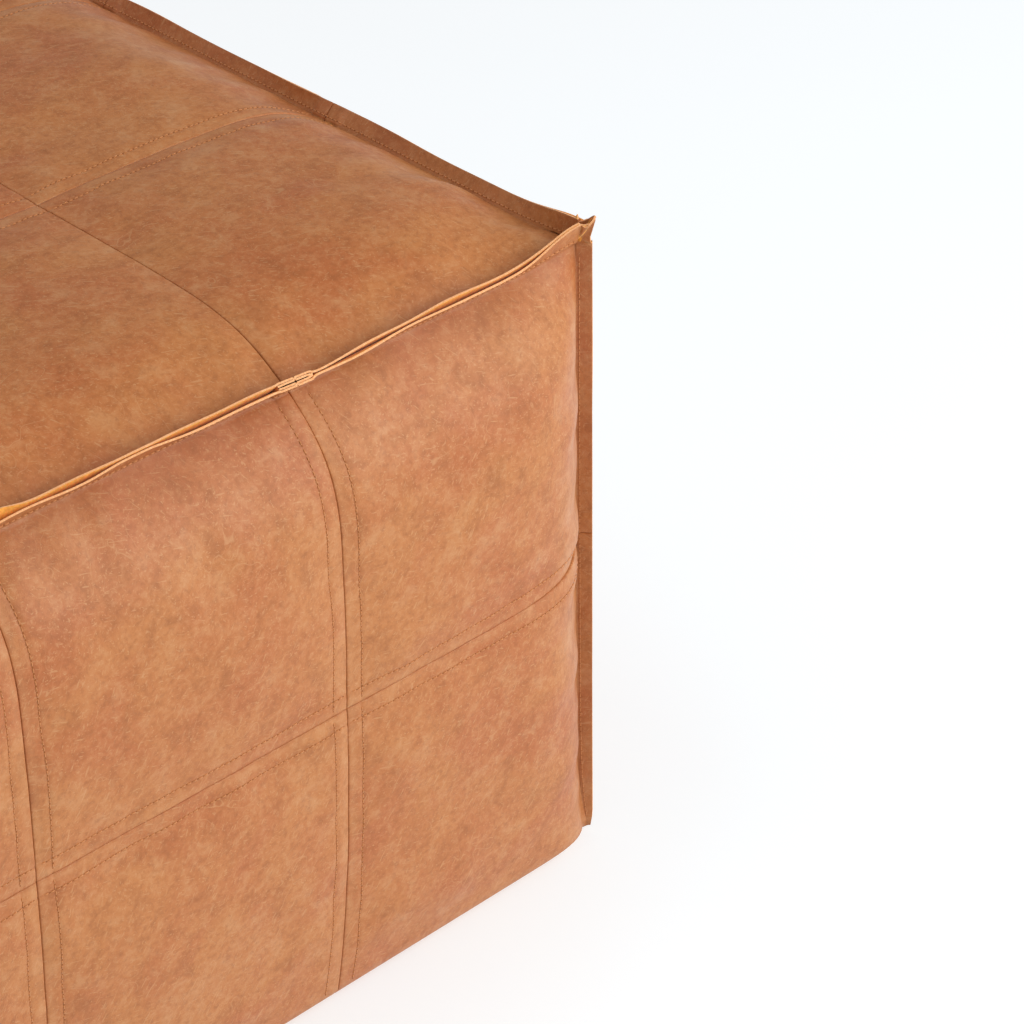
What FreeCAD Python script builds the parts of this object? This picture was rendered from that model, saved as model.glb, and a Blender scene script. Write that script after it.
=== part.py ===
import FreeCAD, Part
import Sketcher
import math
import os

from FreeCAD import Placement, Rotation, Vector

# A square leather floor pouf.  Nine patches make the top and six make each side.
# Where the top meets a side, and where two sides meet, the patches' edges are
# turned outwards and sewn together as a raw-edged flange.  The lower patches roll
# under the pouf to a flat base with a zip, and a liner bag inside holds the filling.
# Frame: +Z up, origin on the floor under the middle of the base, front is -Y.

doc = FreeCAD.newDocument("leather_pouf")
sheet = doc.addObject("Spreadsheet::Sheet", "Sizes")

SIZES = [
    # the leather cover
    ("seam_square", 588.0, "side of the square between the flange seams"),
    ("seam_height", 386.0, "height of the seam between top and sides"),
    ("row_height", 209.0, "height of the seam between the two rows of side patches"),
    ("patch_columns", 3.0, "patches across the top and along each side"),
    ("leather", 1.4, "thickness of the leather"),
    ("seam_gap", 0.3, "half the slit between two sewn patches"),
    ("flange_width", 8.5, "width of the flange beyond its seam"),
    ("lip_gap", 0.15, "half the gap between a flange's two lips"),
    ("ear_room", 3.0, "how far below the top seam the upright flanges end"),
    ("side_swell", 39.0, "how far the filling pushes a side out"),
    ("side_reach", 34.0, "distance over which a side swells from its flange"),
    ("foot_reach", 100.0, "height over which a side swells from the floor"),
    ("foot_pull", 0.67, "share of the swell that is gone at the floor"),
    ("top_swell", 24.5, "how far the filling pushes the top up"),
    ("top_reach", 40.0, "distance over which the top swells from its flange"),
    ("roll_radius", 9.0, "radius with which the lower patches roll under"),
    ("under_turn", 40.0, "how far the lower patches reach in under the pouf"),
    # the base
    ("base_square", 524.0, "side of the square base"),
    ("base_level", 1.7, "height of the base leather above the floor"),
    ("zip_slot", 26.0, "width of the slot between the halves of the base"),
    ("zip_length", 380.0, "length of the zip's two coils"),
    ("hem_rise", 7.5, "height of the turned-up hems that carry the zip"),
    ("tape_edge", 14.5, "distance of a tape's outer edge from the zip's middle"),
    ("tape_inset", 1.2, "distance of a tape's inner edge from the zip's middle"),
    ("tape", 0.6, "thickness of a tape"),
    ("coil_slit", 0.7, "half the slit between the coils"),
    ("coil_width", 2.6, "width of one coil"),
    ("coil_rise", 2.2, "height of a coil under its tape"),
    ("end_tab", 50.0, "length of the leather tab at each end of the zip"),
    ("stop_length", 4.0, "length of a stop along the zip"),
    # the slider and its pull
    ("slider_length", 12.0, "length of the slider"),
    ("slider_width", 9.0, "width of the slider"),
    ("plate", 1.1, "thickness of a slider plate"),
    ("slider_play", 0.3, "gap between a plate and what it slides on"),
    ("post_width", 0.8, "width of the post between the slider's plates"),
    ("post_length", 3.0, "length of the post along the zip"),
    ("lug_width", 1.0, "thickness of a lug under the slider"),
    ("pin_radius", 0.6, "radius of the pin between the lugs"),
    ("pin_level", 2.55, "height of the pin's axis"),
    ("pull_eye", 1.15, "outer radius of the pull's eye"),
    ("pull_bore", 0.7, "radius of the hole in the pull's eye"),
    ("pull_length", 26.0, "length of the pull beyond its pin"),
    ("pull_width", 6.0, "width of the pull"),
    ("pull_neck", 3.0, "width of the pull's eye"),
    ("pull_thick", 1.2, "thickness of the pull"),
    # what is inside
    ("liner", 0.8, "thickness of the liner's cotton"),
    ("liner_inset", 3.0, "gap from the leather's outer face to the liner"),
    ("liner_level", 11.0, "height of the liner's bottom"),
]
for row, (alias, number, meaning) in enumerate(SIZES, start=1):
    sheet.set("A%d" % row, meaning)
    sheet.set("B%d" % row, str(number))
    sheet.setAlias("B%d" % row, alias)
doc.recompute()


def size(alias):
    """A driving dimension, read from the sheet."""
    return float(sheet.get(alias))


HALF = size("seam_square") / 2
TOP = size("seam_height")
LEATHER = size("leather")
GAP = size("seam_gap")
COLUMN = size("seam_square") / size("patch_columns")
COLUMNS = ("left", "middle", "right")
SIDES = ("front", "right", "back", "left")
SPREAD = math.sqrt(0.5)  # the flange stands out at 45 degrees

# How finely the smooth forms are divided.
STEPS_ACROSS = 12
STEPS_ON_TOP = 14
STEPS_DOWN_UPPER = 10
STEPS_DOWN_LOWER = 12
ROLL_SHARES = (0.25, 0.5, 0.75, 1.0)
INNER_STEPS_ACROSS = 12
INNER_STEPS_ON_TOP = 24
INNER_STEPS_DOWN = 18
FILLING_STEPS = 14
CROWN_SHARES = (0.15, 0.35, 0.65)  # how far in the rings of the filling's crown lie
LEVEL_LIMIT = 0.001  # points whose heights differ by less lie in one plane

nodes = []


def keep(obj, label):
    """Names an object after its node and puts it on the list that is written out."""
    obj.Label = label
    nodes.append(obj)
    return obj


# ---- the swollen forms ----

def edge_fade(across, reach):
    """0 at both flanges and 1 in the middle of a face."""
    return math.tanh((HALF - across) / reach) * math.tanh((HALF + across) / reach)


def top_height(x, y):
    """Height of the top's outer face."""
    reach = size("top_reach")
    return TOP + size("top_swell") * edge_fade(x, reach) * edge_fade(y, reach)


def side_swell(across, height):
    """How far a side's outer face stands out beyond the flange seams."""
    upper = math.tanh((TOP - height) / size("side_reach"))
    lower = 1 - size("foot_pull") * math.exp(-height / size("foot_reach"))
    return size("side_swell") * edge_fade(across, size("side_reach")) * upper * lower


def edge_through(points):
    """A straight edge through two points, or a smooth one through more."""
    if len(points) == 2:
        return Part.makeLine(points[0], points[1])
    curve = Part.BSplineCurve()
    curve.interpolate(points)
    return curve.toShape()


def strip(first_row, second_row):
    """The face between two rows of points: a plane where both lie at one height."""
    edges = [edge_through(first_row), edge_through(second_row)]
    heights = [point.z for point in first_row + second_row]
    if max(heights) - min(heights) > LEVEL_LIMIT:
        return Part.makeRuledSurface(*edges)
    edges.append(Part.makeLine(first_row[0], second_row[0]))
    edges.append(Part.makeLine(first_row[-1], second_row[-1]))
    return Part.Face(Part.Wire(Part.sortEdges(edges)[0]))


def patch_solid(outer, inner):
    """The solid between a patch's two faces.

    Each face is a list of rows, and each row has three spans of points: the lip at
    its left end, the panel, and the lip at its right end.  A span with no points is
    one that the patch doesn't have at that row.
    """
    def present(row, span):
        inside = 0 <= row < len(outer) - 1 and 0 <= span < 3
        return inside and bool(outer[row][span]) and bool(outer[row + 1][span])

    faces = []
    for row in range(len(outer)):
        for span in range(3):
            if present(row, span):
                for face in (outer, inner):
                    faces.append(strip(face[row][span], face[row + 1][span]))
                for end, beside in ((0, span - 1), (-1, span + 1)):
                    if not present(row, beside):
                        faces.append(Part.makeRuledSurface(
                            Part.makeLine(outer[row][span][end], outer[row + 1][span][end]),
                            Part.makeLine(inner[row][span][end], inner[row + 1][span][end])))
            if present(row, span) != present(row - 1, span):
                faces.append(Part.makeRuledSurface(
                    edge_through(outer[row][span]), edge_through(inner[row][span])))
    shell = Part.makeShell(faces)
    shell.sewShape()
    solid = Part.Solid(shell)
    if solid.Volume < 0:
        solid.reverse()
    return solid


def steps(start, end, count):
    return [start + (end - start) * i / count for i in range(count + 1)]


def column_ends(column):
    """Where a column of patches starts and ends across the face."""
    start = -HALF + COLUMN * column
    return start, start + COLUMN


# A patch's grain face and flesh face: how far each stands off the flange seam, and
# how deep it lies under the grain.
GRAIN = SPREAD * (size("lip_gap") + LEATHER)
FLESH = SPREAD * size("lip_gap")
FACES = ((GRAIN, 0.0), (FLESH, LEATHER))


def lip_tip(stand_off):
    """How far out, and how far up, a lip's tip is from the seam on one of its faces."""
    reach = SPREAD * size("flange_width")
    return reach - stand_off, reach + stand_off


# ---- the top ----

def panel_stretch(column, stand_off):
    """Where a top patch's face starts and ends: at the flange, or at a seam between patches."""
    start, end = column_ends(column)
    low = start + (stand_off if column == 0 else GAP)
    high = end - (stand_off if column == 2 else GAP)
    return low, high


def top_face(column, row, stand_off, depth):
    """One face of a top patch as rows of points, with its lips where it meets the flange."""
    x_low, x_high = panel_stretch(column, stand_off)
    y_low, y_high = panel_stretch(row, stand_off)
    out, up = lip_tip(stand_off)
    xs = steps(x_low, x_high, STEPS_ACROSS)
    rows = []
    for y in steps(y_low, y_high, STEPS_ON_TOP):
        panel = [Vector(x, y, GRAIN + top_height(x, y) - depth) for x in xs]
        for end, on_flange in ((0, column == 0), (-1, column == 2)):
            if on_flange:
                panel[end].z = TOP + stand_off
        if (row == 0 and y == y_low) or (row == 2 and y == y_high):
            for point in panel:
                point.z = TOP + stand_off
        left, right = [], []
        if column == 0:
            left = [Vector(-HALF - out, y, TOP + up), panel[0]]
        if column == 2:
            right = [panel[-1], Vector(HALF + out, y, TOP + up)]
        rows.append([left, panel, right])
    if row == 0:
        rows.insert(0, [[], [Vector(x, -HALF - out, TOP + up) for x in xs], []])
    if row == 2:
        rows.append([[], [Vector(x, HALF + out, TOP + up) for x in xs], []])
    return rows


for row, row_name in enumerate(("front", "middle", "back")):
    for column, column_name in enumerate(COLUMNS):
        patch = doc.addObject("Part::Feature", "TopPatch")
        patch.Shape = patch_solid(*[top_face(column, row, *face) for face in FACES])
        keep(patch, "top_%s_%s" % (row_name, column_name))


# ---- the sides ----

def side_row(column, cut, out_at, height):
    """Points across the front: out_at gives how far each stands out from the seam."""
    start, end = column_ends(column)
    across = steps(start, end, STEPS_ACROSS)
    outs = [out_at(s) for s in across]
    low = start + (cut - outs[0] if column == 0 else GAP)
    high = end - (cut - outs[-1] if column == 2 else GAP)
    xs = steps(low, high, STEPS_ACROSS)
    return [Vector(x, -HALF - out, height) for x, out in zip(xs, outs)]


def side_face(column, upper, stand_off, depth):
    """One face of a front patch as rows of points, from its upper edge down."""
    lip_out, lip_up = lip_tip(stand_off)
    seam = size("row_height")
    radius = size("roll_radius")
    if upper:
        heights = steps(TOP - stand_off, seam + GAP, STEPS_DOWN_UPPER)
    else:
        heights = steps(seam - GAP, radius, STEPS_DOWN_LOWER)
    rows = []
    for height in heights:
        def out_at(across, height=height):
            on_flange = abs(across) >= HALF or height == TOP - stand_off
            return stand_off if on_flange else GRAIN + side_swell(across, height) - depth
        panel = side_row(column, 2 * stand_off, out_at, height)
        tip = HALF + SPREAD * size("flange_width")
        left, right = [], []
        lips_start = TOP - stand_off - size("ear_room")
        lip_height = min(height, lips_start)
        if column == 0:
            left = [Vector(-tip + stand_off, -tip - stand_off, lip_height), panel[0]]
        if column == 2:
            right = [panel[-1], Vector(tip - stand_off, -tip - stand_off, lip_height)]
        rows.append([left, panel, right])
    if upper:
        tips = [Vector(point.x, -HALF - lip_up, TOP + lip_out) for point in rows[0][1]]
        rows.insert(0, [[], tips, []])
        return rows
    for share in ROLL_SHARES:
        angle = share * math.pi / 2
        inset = radius - (radius - depth) * math.cos(angle)
        level = radius - (radius - depth) * math.sin(angle)

        def out_at(across):
            return GRAIN + side_swell(across, radius) * (1 - 0.5 * share) - inset
        cut = 2 * stand_off * (1 - share) + 2 * GAP * share
        rows.append([[], side_row(column, cut, out_at, level), []])
    for share in (0.5, 1.0):
        inset = radius + (size("under_turn") - radius) * share

        def out_at(across):
            return GRAIN + side_swell(across, radius) * 0.5 * (1 - share) - inset
        rows.append([[], side_row(column, 2 * GAP, out_at, depth), []])
    return rows


for turn, side_name in enumerate(SIDES):
    for column, column_name in enumerate(COLUMNS):
        for upper, row_name in ((True, "upper"), (False, "lower")):
            patch = doc.addObject("Part::Feature", "SidePatch")
            patch.Shape = patch_solid(*[side_face(column, upper, *face) for face in FACES])
            patch.Placement = Placement(Vector(0, 0, 0), Rotation(Vector(0, 0, 1), 90 * turn))
            keep(patch, "side_%s_%s_%s" % (side_name, column_name, row_name))


# ---- the base ----

def bound(obj, bindings):
    """Binds an object's properties to expressions of the sheet's cells."""
    for name, expression in bindings.items():
        obj.setExpression(name, expression)
    return obj


def bar(outline, length, middle="0 mm"):
    """A body along X: a closed outline in Y and Z, padded to both sides of its middle."""
    body = doc.addObject("PartDesign::Body", "Body")
    side_plane = [o for o in body.Origin.OriginFeatures if o.Role == "YZ_Plane"][0]
    sketch = body.newObject("Sketcher::SketchObject", "Outline")
    sketch.AttachmentSupport = [(side_plane, "")]
    sketch.MapMode = "FlatFace"
    corners = [tuple(float(sheet.evalExpression(e)) for e in corner) for corner in outline]
    for i, corner in enumerate(corners):
        after = corners[(i + 1) % len(corners)]
        sketch.addGeometry(Part.LineSegment(Vector(*corner, 0), Vector(*after, 0)), False)
    for i in range(len(corners)):
        after = (i + 1) % len(corners)
        sketch.addConstraint(Sketcher.Constraint("Coincident", i, 2, after, 1))
    for i, corner in enumerate(corners):
        for direction, value, expression in zip(("DistanceX", "DistanceY"), corner, outline[i]):
            index = sketch.addConstraint(Sketcher.Constraint(direction, -1, 1, i, 1, value))
            sketch.setExpression("Constraints[%d]" % index, expression)
    pad = body.newObject("PartDesign::Pad", "Pad")
    pad.Profile = sketch
    pad.SideType = "Symmetric"
    bound(pad, {"Length": length})
    return bound(body, {"Placement.Base.x": middle})


def rectangle(y_low, y_high, z_low, z_high):
    return [(y_low, z_low), (y_high, z_low), (y_high, z_high), (y_low, z_high)]


def mirrored(outline):
    """The same outline on the other side of the zip."""
    return [("-(%s)" % y, z) for y, z in outline[::-1]]


BASE_OUTLINE = [
    ("-Sizes.base_square / 2", "Sizes.base_level"),
    ("-Sizes.zip_slot / 2", "Sizes.base_level"),
    ("-Sizes.zip_slot / 2", "Sizes.hem_rise"),
    ("-Sizes.zip_slot / 2 - Sizes.leather", "Sizes.hem_rise"),
    ("-Sizes.zip_slot / 2 - Sizes.leather", "Sizes.base_level + Sizes.leather"),
    ("-Sizes.base_square / 2", "Sizes.base_level + Sizes.leather"),
]
keep(bar(BASE_OUTLINE, "Sizes.base_square"), "base_front")
keep(bar(mirrored(BASE_OUTLINE), "Sizes.base_square"), "base_back")

TAB_OUTLINE = rectangle(
    "-Sizes.zip_slot / 2 + Sizes.seam_gap", "Sizes.zip_slot / 2 - Sizes.seam_gap",
    "Sizes.base_level", "Sizes.base_level + Sizes.leather")
TAB_MIDDLE = "(Sizes.base_square - Sizes.end_tab) / 2"
keep(bar(TAB_OUTLINE, "Sizes.end_tab", "-" + TAB_MIDDLE), "zip_end_tab_left")
keep(bar(TAB_OUTLINE, "Sizes.end_tab", TAB_MIDDLE), "zip_end_tab_right")

# ---- the zip ----

TAPE_OUTLINE = rectangle(
    "-Sizes.tape_edge", "-Sizes.tape_inset", "Sizes.hem_rise", "Sizes.hem_rise + Sizes.tape")
TAPE_LENGTH = "Sizes.zip_length + 4 * Sizes.stop_length"
keep(bar(TAPE_OUTLINE, TAPE_LENGTH), "zip_tape_front")
keep(bar(mirrored(TAPE_OUTLINE), TAPE_LENGTH), "zip_tape_back")

COIL_OUTLINE = rectangle(
    "-Sizes.coil_slit - Sizes.coil_width", "-Sizes.coil_slit",
    "Sizes.hem_rise - Sizes.coil_rise", "Sizes.hem_rise")
keep(bar(COIL_OUTLINE, "Sizes.zip_length"), "zip_coil_front")
keep(bar(mirrored(COIL_OUTLINE), "Sizes.zip_length"), "zip_coil_back")

STOP_OUTLINE = rectangle(
    "-Sizes.coil_slit - Sizes.coil_width", "Sizes.coil_slit + Sizes.coil_width",
    "Sizes.hem_rise - Sizes.coil_rise", "Sizes.hem_rise")
STOP_MIDDLE = "(Sizes.zip_length + Sizes.stop_length) / 2"
keep(bar(STOP_OUTLINE, "Sizes.stop_length", "-" + STOP_MIDDLE), "zip_stop_left")
keep(bar(STOP_OUTLINE, "Sizes.stop_length", STOP_MIDDLE), "zip_stop_right")

# ---- the slider, at the closed end of the zip ----

SLIDER_MIDDLE = "Sizes.zip_length / 2 - Sizes.slider_length / 2 - Sizes.slider_play"
COIL_FOOT = "Sizes.hem_rise - Sizes.coil_rise"
LOWER_PLATE = COIL_FOOT + " - Sizes.slider_play - Sizes.plate"
PLATE_FOOT = COIL_FOOT + " - Sizes.slider_play"
UPPER_PLATE = "Sizes.hem_rise + Sizes.tape + Sizes.slider_play"
RIM_INSIDE = "Sizes.coil_slit + Sizes.coil_width + Sizes.slider_play"
LUG_INSIDE = "Sizes.pull_neck / 2 + Sizes.slider_play"


slider = doc.addObject("Part::MultiFuse", "Slider")
slider_rim = rectangle(RIM_INSIDE, "Sizes.slider_width / 2", LOWER_PLATE,
                       "Sizes.hem_rise - Sizes.slider_play")
slider_lug = rectangle(LUG_INSIDE, LUG_INSIDE + " + Sizes.lug_width",
                       "Sizes.pin_level - 2 * Sizes.pin_radius", PLATE_FOOT)
slider_post = rectangle("-Sizes.post_width / 2", "Sizes.post_width / 2", LOWER_PLATE,
                        UPPER_PLATE + " + Sizes.plate")
HALF_SLIDER = "Sizes.slider_width / 2"
slider.Shapes = [
    bar(rectangle("-" + HALF_SLIDER, HALF_SLIDER, LOWER_PLATE, PLATE_FOOT),
        "Sizes.slider_length", SLIDER_MIDDLE),
    bar(rectangle("-" + HALF_SLIDER, HALF_SLIDER, UPPER_PLATE, UPPER_PLATE + " + Sizes.plate"),
        "Sizes.slider_length", SLIDER_MIDDLE),
    bar(slider_post, "Sizes.post_length",
        SLIDER_MIDDLE + " + (Sizes.slider_length - Sizes.post_length) / 2"),
    bar(slider_rim, "Sizes.slider_length", SLIDER_MIDDLE),
    bar(mirrored(slider_rim), "Sizes.slider_length", SLIDER_MIDDLE),
    bar(slider_lug, "4 * Sizes.pin_radius", SLIDER_MIDDLE),
    bar(mirrored(slider_lug), "4 * Sizes.pin_radius", SLIDER_MIDDLE),
]


def cross_pin(name, radius, length):
    """A cylinder along Y through the pull's hinge."""
    pin = doc.addObject("Part::Cylinder", name)
    pin.Placement = Placement(Vector(0, 0, 0), Rotation(Vector(1, 0, 0), -90))
    return bound(pin, {
        "Radius": radius,
        "Height": length,
        "Placement.Base.x": SLIDER_MIDDLE,
        "Placement.Base.y": "-(%s) / 2" % length,
        "Placement.Base.z": "Sizes.pin_level",
    })


slider.Shapes = slider.Shapes + [
    cross_pin("SliderPin", "Sizes.pin_radius", "2 * (%s) + Sizes.lug_width" % LUG_INSIDE)]
keep(slider, "zip_slider")

# ---- the pull, trailing from the slider's pin ----

pull_blank = doc.addObject("Part::MultiFuse", "PullBlank")
NECK_LENGTH = "3 * Sizes.pull_eye"
PULL_LOW = "Sizes.pin_level - Sizes.pull_thick / 2"
PULL_HIGH = "Sizes.pin_level + Sizes.pull_thick / 2"
pull_blank.Shapes = [
    cross_pin("PullEye", "Sizes.pull_eye", "Sizes.pull_neck"),
    bar(rectangle("-Sizes.pull_neck / 2", "Sizes.pull_neck / 2", PULL_LOW, PULL_HIGH),
        NECK_LENGTH, SLIDER_MIDDLE + " - (%s) / 2" % NECK_LENGTH),
    bar(rectangle("-Sizes.pull_width / 2", "Sizes.pull_width / 2", PULL_LOW, PULL_HIGH),
        "Sizes.pull_length - " + NECK_LENGTH,
        SLIDER_MIDDLE + " - (Sizes.pull_length + %s) / 2" % NECK_LENGTH),
]
pull = doc.addObject("Part::Cut", "Pull")
pull.Base = pull_blank
pull.Tool = cross_pin("PullBore", "Sizes.pull_bore", "2 * Sizes.pull_neck")
keep(pull, "zip_pull")

# ---- the liner bag and the filling ----

def inner_top(inset, level):
    """A top sheet or face under the cover, as rows of points."""
    edge = HALF - inset
    xs = steps(-edge, edge, INNER_STEPS_ACROSS)
    return [[[], [Vector(x, y, GRAIN + top_height(x, y) - level) for x in xs], []]
            for y in steps(-edge, edge, INNER_STEPS_ON_TOP)]


def inner_side(inset, level):
    """An upright sheet behind the front of the cover, as rows of points."""
    edge = HALF - inset
    foot = size("liner_level") + 2 * size("liner")
    xs = steps(-edge, edge, INNER_STEPS_ACROSS)
    return [[[], [Vector(x, level - HALF - GRAIN - side_swell(x, height), height) for x in xs], []]
            for height in steps(TOP - inset, foot, INNER_STEPS_DOWN)]


LINER_EDGE = size("liner_inset") + size("liner")
liner_top = doc.addObject("Part::Feature", "LinerTop")
liner_top.Shape = patch_solid(
    inner_top(2 * LINER_EDGE, size("liner_inset")), inner_top(2 * LINER_EDGE, LINER_EDGE))
keep(liner_top, "liner_top")
for turn, side_name in enumerate(SIDES):
    liner_side = doc.addObject("Part::Feature", "LinerSide")
    liner_side.Shape = patch_solid(
        inner_side(2 * LINER_EDGE, size("liner_inset")), inner_side(2 * LINER_EDGE, LINER_EDGE))
    liner_side.Placement = Placement(Vector(0, 0, 0), Rotation(Vector(0, 0, 1), 90 * turn))
    keep(liner_side, "liner_%s" % side_name)
HALF_LINER = "(Sizes.seam_square / 2 - Sizes.roll_radius)"
keep(bar(rectangle("-" + HALF_LINER, HALF_LINER, "Sizes.liner_level",
                   "Sizes.liner_level + Sizes.liner"), "2 * " + HALF_LINER), "liner_base")


def filling_ring(inset, height, swollen):
    """A closed outline of the filling at one height."""
    edge = HALF - inset
    xs = steps(-edge, edge, INNER_STEPS_ACROSS)
    outs = [swollen * (side_swell(x, height) - side_swell(edge, height)) for x in xs]
    sides = []
    for turn in range(4):
        line = [Vector(x, -edge - out, height) for x, out in zip(xs, outs)]
        spin = Rotation(Vector(0, 0, 1), 90 * turn)
        sides.append(edge_through([spin.multVec(point) for point in line]))
    return Part.Wire(sides)


FILLING_FOOT = size("liner_level") + 3 * size("liner")
rings = [filling_ring(3 * LINER_EDGE, height, True)
         for height in steps(FILLING_FOOT, TOP - 3 * LINER_EDGE, FILLING_STEPS)]
for share in CROWN_SHARES:
    inset = HALF * share
    height = top_height(HALF - inset, HALF - inset) - 3 * LINER_EDGE
    rings.append(filling_ring(inset, height, False))
filling = doc.addObject("Part::Feature", "Filling")
filling.Shape = Part.makeLoft(rings, True, True)
keep(filling, "filling")

# ---- check every shape, then write one file for each node ----

doc.recompute()
for obj in doc.Objects:
    if "Invalid" in obj.State or "Error" in obj.State:
        raise RuntimeError("%s failed: %s" % (obj.Label, obj.State))
os.makedirs("parts", exist_ok=True)
for obj in nodes:
    shape = obj.Shape
    if shape.isNull() or not shape.isValid() or shape.Volume <= 0:
        raise RuntimeError("%s has no valid shape" % obj.Label)
    shape.exportStep("parts/%s.step" % obj.Label)
    print("%-28s %9.0f mm3, %d faces" % (obj.Label, shape.Volume, len(shape.Faces)))
print("%d nodes" % len(nodes))
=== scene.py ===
# %% [markdown]
# # A patchwork leather floor pouf
# The pouf is a square bag of soft leather with loose filling inside.  Nine square
# patches make its top and six make each side.  Between patches the seams are pressed
# open, and most are topstitched.  Round the top and down the corners the edges are
# turned outwards and left raw, so that a thin double lip stands proud of the seam.
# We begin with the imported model, whose solids give every size that the leather needs.

# %% Load the frame
import math

import bmesh
import bpy
import numpy as np
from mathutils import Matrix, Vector


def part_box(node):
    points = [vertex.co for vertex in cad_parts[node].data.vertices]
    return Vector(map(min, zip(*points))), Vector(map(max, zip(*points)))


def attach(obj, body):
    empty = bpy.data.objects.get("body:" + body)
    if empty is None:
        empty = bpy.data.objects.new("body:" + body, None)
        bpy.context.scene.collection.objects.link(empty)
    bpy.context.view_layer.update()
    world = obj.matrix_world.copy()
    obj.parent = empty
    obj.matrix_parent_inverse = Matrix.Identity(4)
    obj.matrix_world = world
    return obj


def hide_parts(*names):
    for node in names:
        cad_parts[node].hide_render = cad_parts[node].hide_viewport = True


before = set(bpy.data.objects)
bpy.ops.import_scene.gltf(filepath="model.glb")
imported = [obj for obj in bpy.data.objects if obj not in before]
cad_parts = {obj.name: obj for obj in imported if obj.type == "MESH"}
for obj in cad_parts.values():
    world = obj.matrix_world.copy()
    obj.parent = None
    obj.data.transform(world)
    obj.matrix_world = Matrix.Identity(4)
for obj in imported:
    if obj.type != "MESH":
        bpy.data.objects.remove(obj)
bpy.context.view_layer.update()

MM = 0.001
SLIT = 0.3 * MM                       # half the slit between two patches in the solids
middle_low, middle_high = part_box("top_middle_middle")
PATCH = middle_high.x - middle_low.x + 2 * SLIT
HALF = 1.5 * PATCH                    # from the middle of the pouf to a flange seam
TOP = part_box("top_front_middle")[0].z
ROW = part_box("side_front_middle_lower")[1].z + SLIT
FLANGE_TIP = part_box("top_front_right")[1].x
print("patch %.0f mm, seam square %.0f mm, seam height %.0f mm" % (PATCH / MM, 2 * HALF / MM, TOP / MM))

# %% [markdown]
# ## The camera
# A catalogue close-up looks down at one corner with a long lens, so that the edges
# stay nearly parallel.  The lens axis meets the corner's flange a little above the
# seam between the two rows of patches, and a small sideways shift leaves the corner
# right of the middle.  A shift does this without turning the camera, which would tip
# the upright corner over.

# %% Camera
AIM = Vector((FLANGE_TIP, -FLANGE_TIP, ROW + 12 * MM))
CAMERA_TURN = math.radians(-44.4)     # round the pouf from its front, towards its left
CAMERA_RISE = math.radians(33.8)
CAMERA_DISTANCE = 1.966
towards_camera = Vector((
    math.sin(CAMERA_TURN) * math.cos(CAMERA_RISE),
    -math.cos(CAMERA_TURN) * math.cos(CAMERA_RISE),
    math.sin(CAMERA_RISE)))
camera_data = bpy.data.cameras.new("camera")
camera_data.lens = 127.4
camera_data.sensor_width = 36.0
camera_data.shift_x = -0.078
camera = bpy.data.objects.new("camera", camera_data)
bpy.context.scene.collection.objects.link(camera)
camera.location = AIM + towards_camera * CAMERA_DISTANCE
camera.rotation_mode = "QUATERNION"
camera.rotation_quaternion = towards_camera.to_track_quat("Z", "Y")
bpy.context.scene.camera = camera
print("camera %.2f m from the corner" % CAMERA_DISTANCE)

# %% [markdown]
# ## Floor, world and lights
# The pouf stands on a plain white sweep.  A pale world fills every shadow.  One large
# soft light stands to the right of the front, which makes the front the brightest face
# and leaves the lips of the flanges, which face the other way, dark.  A second soft
# light overhead is what the leather's sheen reflects along the rounded upper edge.

# %% Floor and lights
def new_object(name, mesh):
    made = bpy.data.objects.new(name, mesh)
    bpy.context.scene.collection.objects.link(made)
    return made


def soft_light(name, direction, distance, width, power):
    data = bpy.data.lights.new(name, "AREA")
    data.shape = "DISK"
    data.size = width
    data.energy = power
    light = new_object(name, data)
    aim = Vector((0, 0, TOP / 2))
    light.location = aim + Vector(direction).normalized() * distance
    light.rotation_mode = "QUATERNION"
    light.rotation_quaternion = (light.location - aim).to_track_quat("Z", "Y")


floor_mesh = bpy.data.meshes.new("floor")
FLOOR_REACH = 12.0
floor_mesh.from_pydata(
    [(x * FLOOR_REACH, y * FLOOR_REACH, 0) for x, y in ((-1, -1), (1, -1), (1, 1), (-1, 1))],
    [], [(0, 1, 2, 3)])
floor = new_object("floor", floor_mesh)

world = bpy.data.worlds.new("studio")
bpy.context.scene.world = world
world.use_nodes = True
world.node_tree.nodes["Background"].inputs["Color"].default_value = (1.0, 1.0, 1.0, 1)
world.node_tree.nodes["Background"].inputs["Strength"].default_value = 0.42
soft_light("key light", (0.6, -0.9, 0.48), distance=2.6, width=2.5, power=51)
soft_light("overhead light", (-0.35, 0.1, 1.0), distance=2.8, width=1.6, power=14)
bpy.context.scene.view_settings.view_transform = "Standard"

# %% [markdown]
# ## Finishes
# Pull-up leather is waxed hide that lightens where it is stretched, scuffed or
# creased.  Its look is layers of different size: clouds of redder and greener brown,
# mottling the size of a fingertip, hairline scuffs in every direction, and a fine
# pebble grain that only the light shows.  Each layer is a noise texture, and the
# patches read them from different places, because each was cut from another part of
# the hide.

# %% Material helpers
def shade(hex_colour):
    """A colour written as on a paint card, as the linear numbers that a shader takes."""
    parts = [int(hex_colour[i:i + 2], 16) / 255 for i in (0, 2, 4)]
    return tuple([p / 12.92 if p <= 0.04045 else ((p + 0.055) / 1.055) ** 2.4 for p in parts] + [1])


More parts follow.
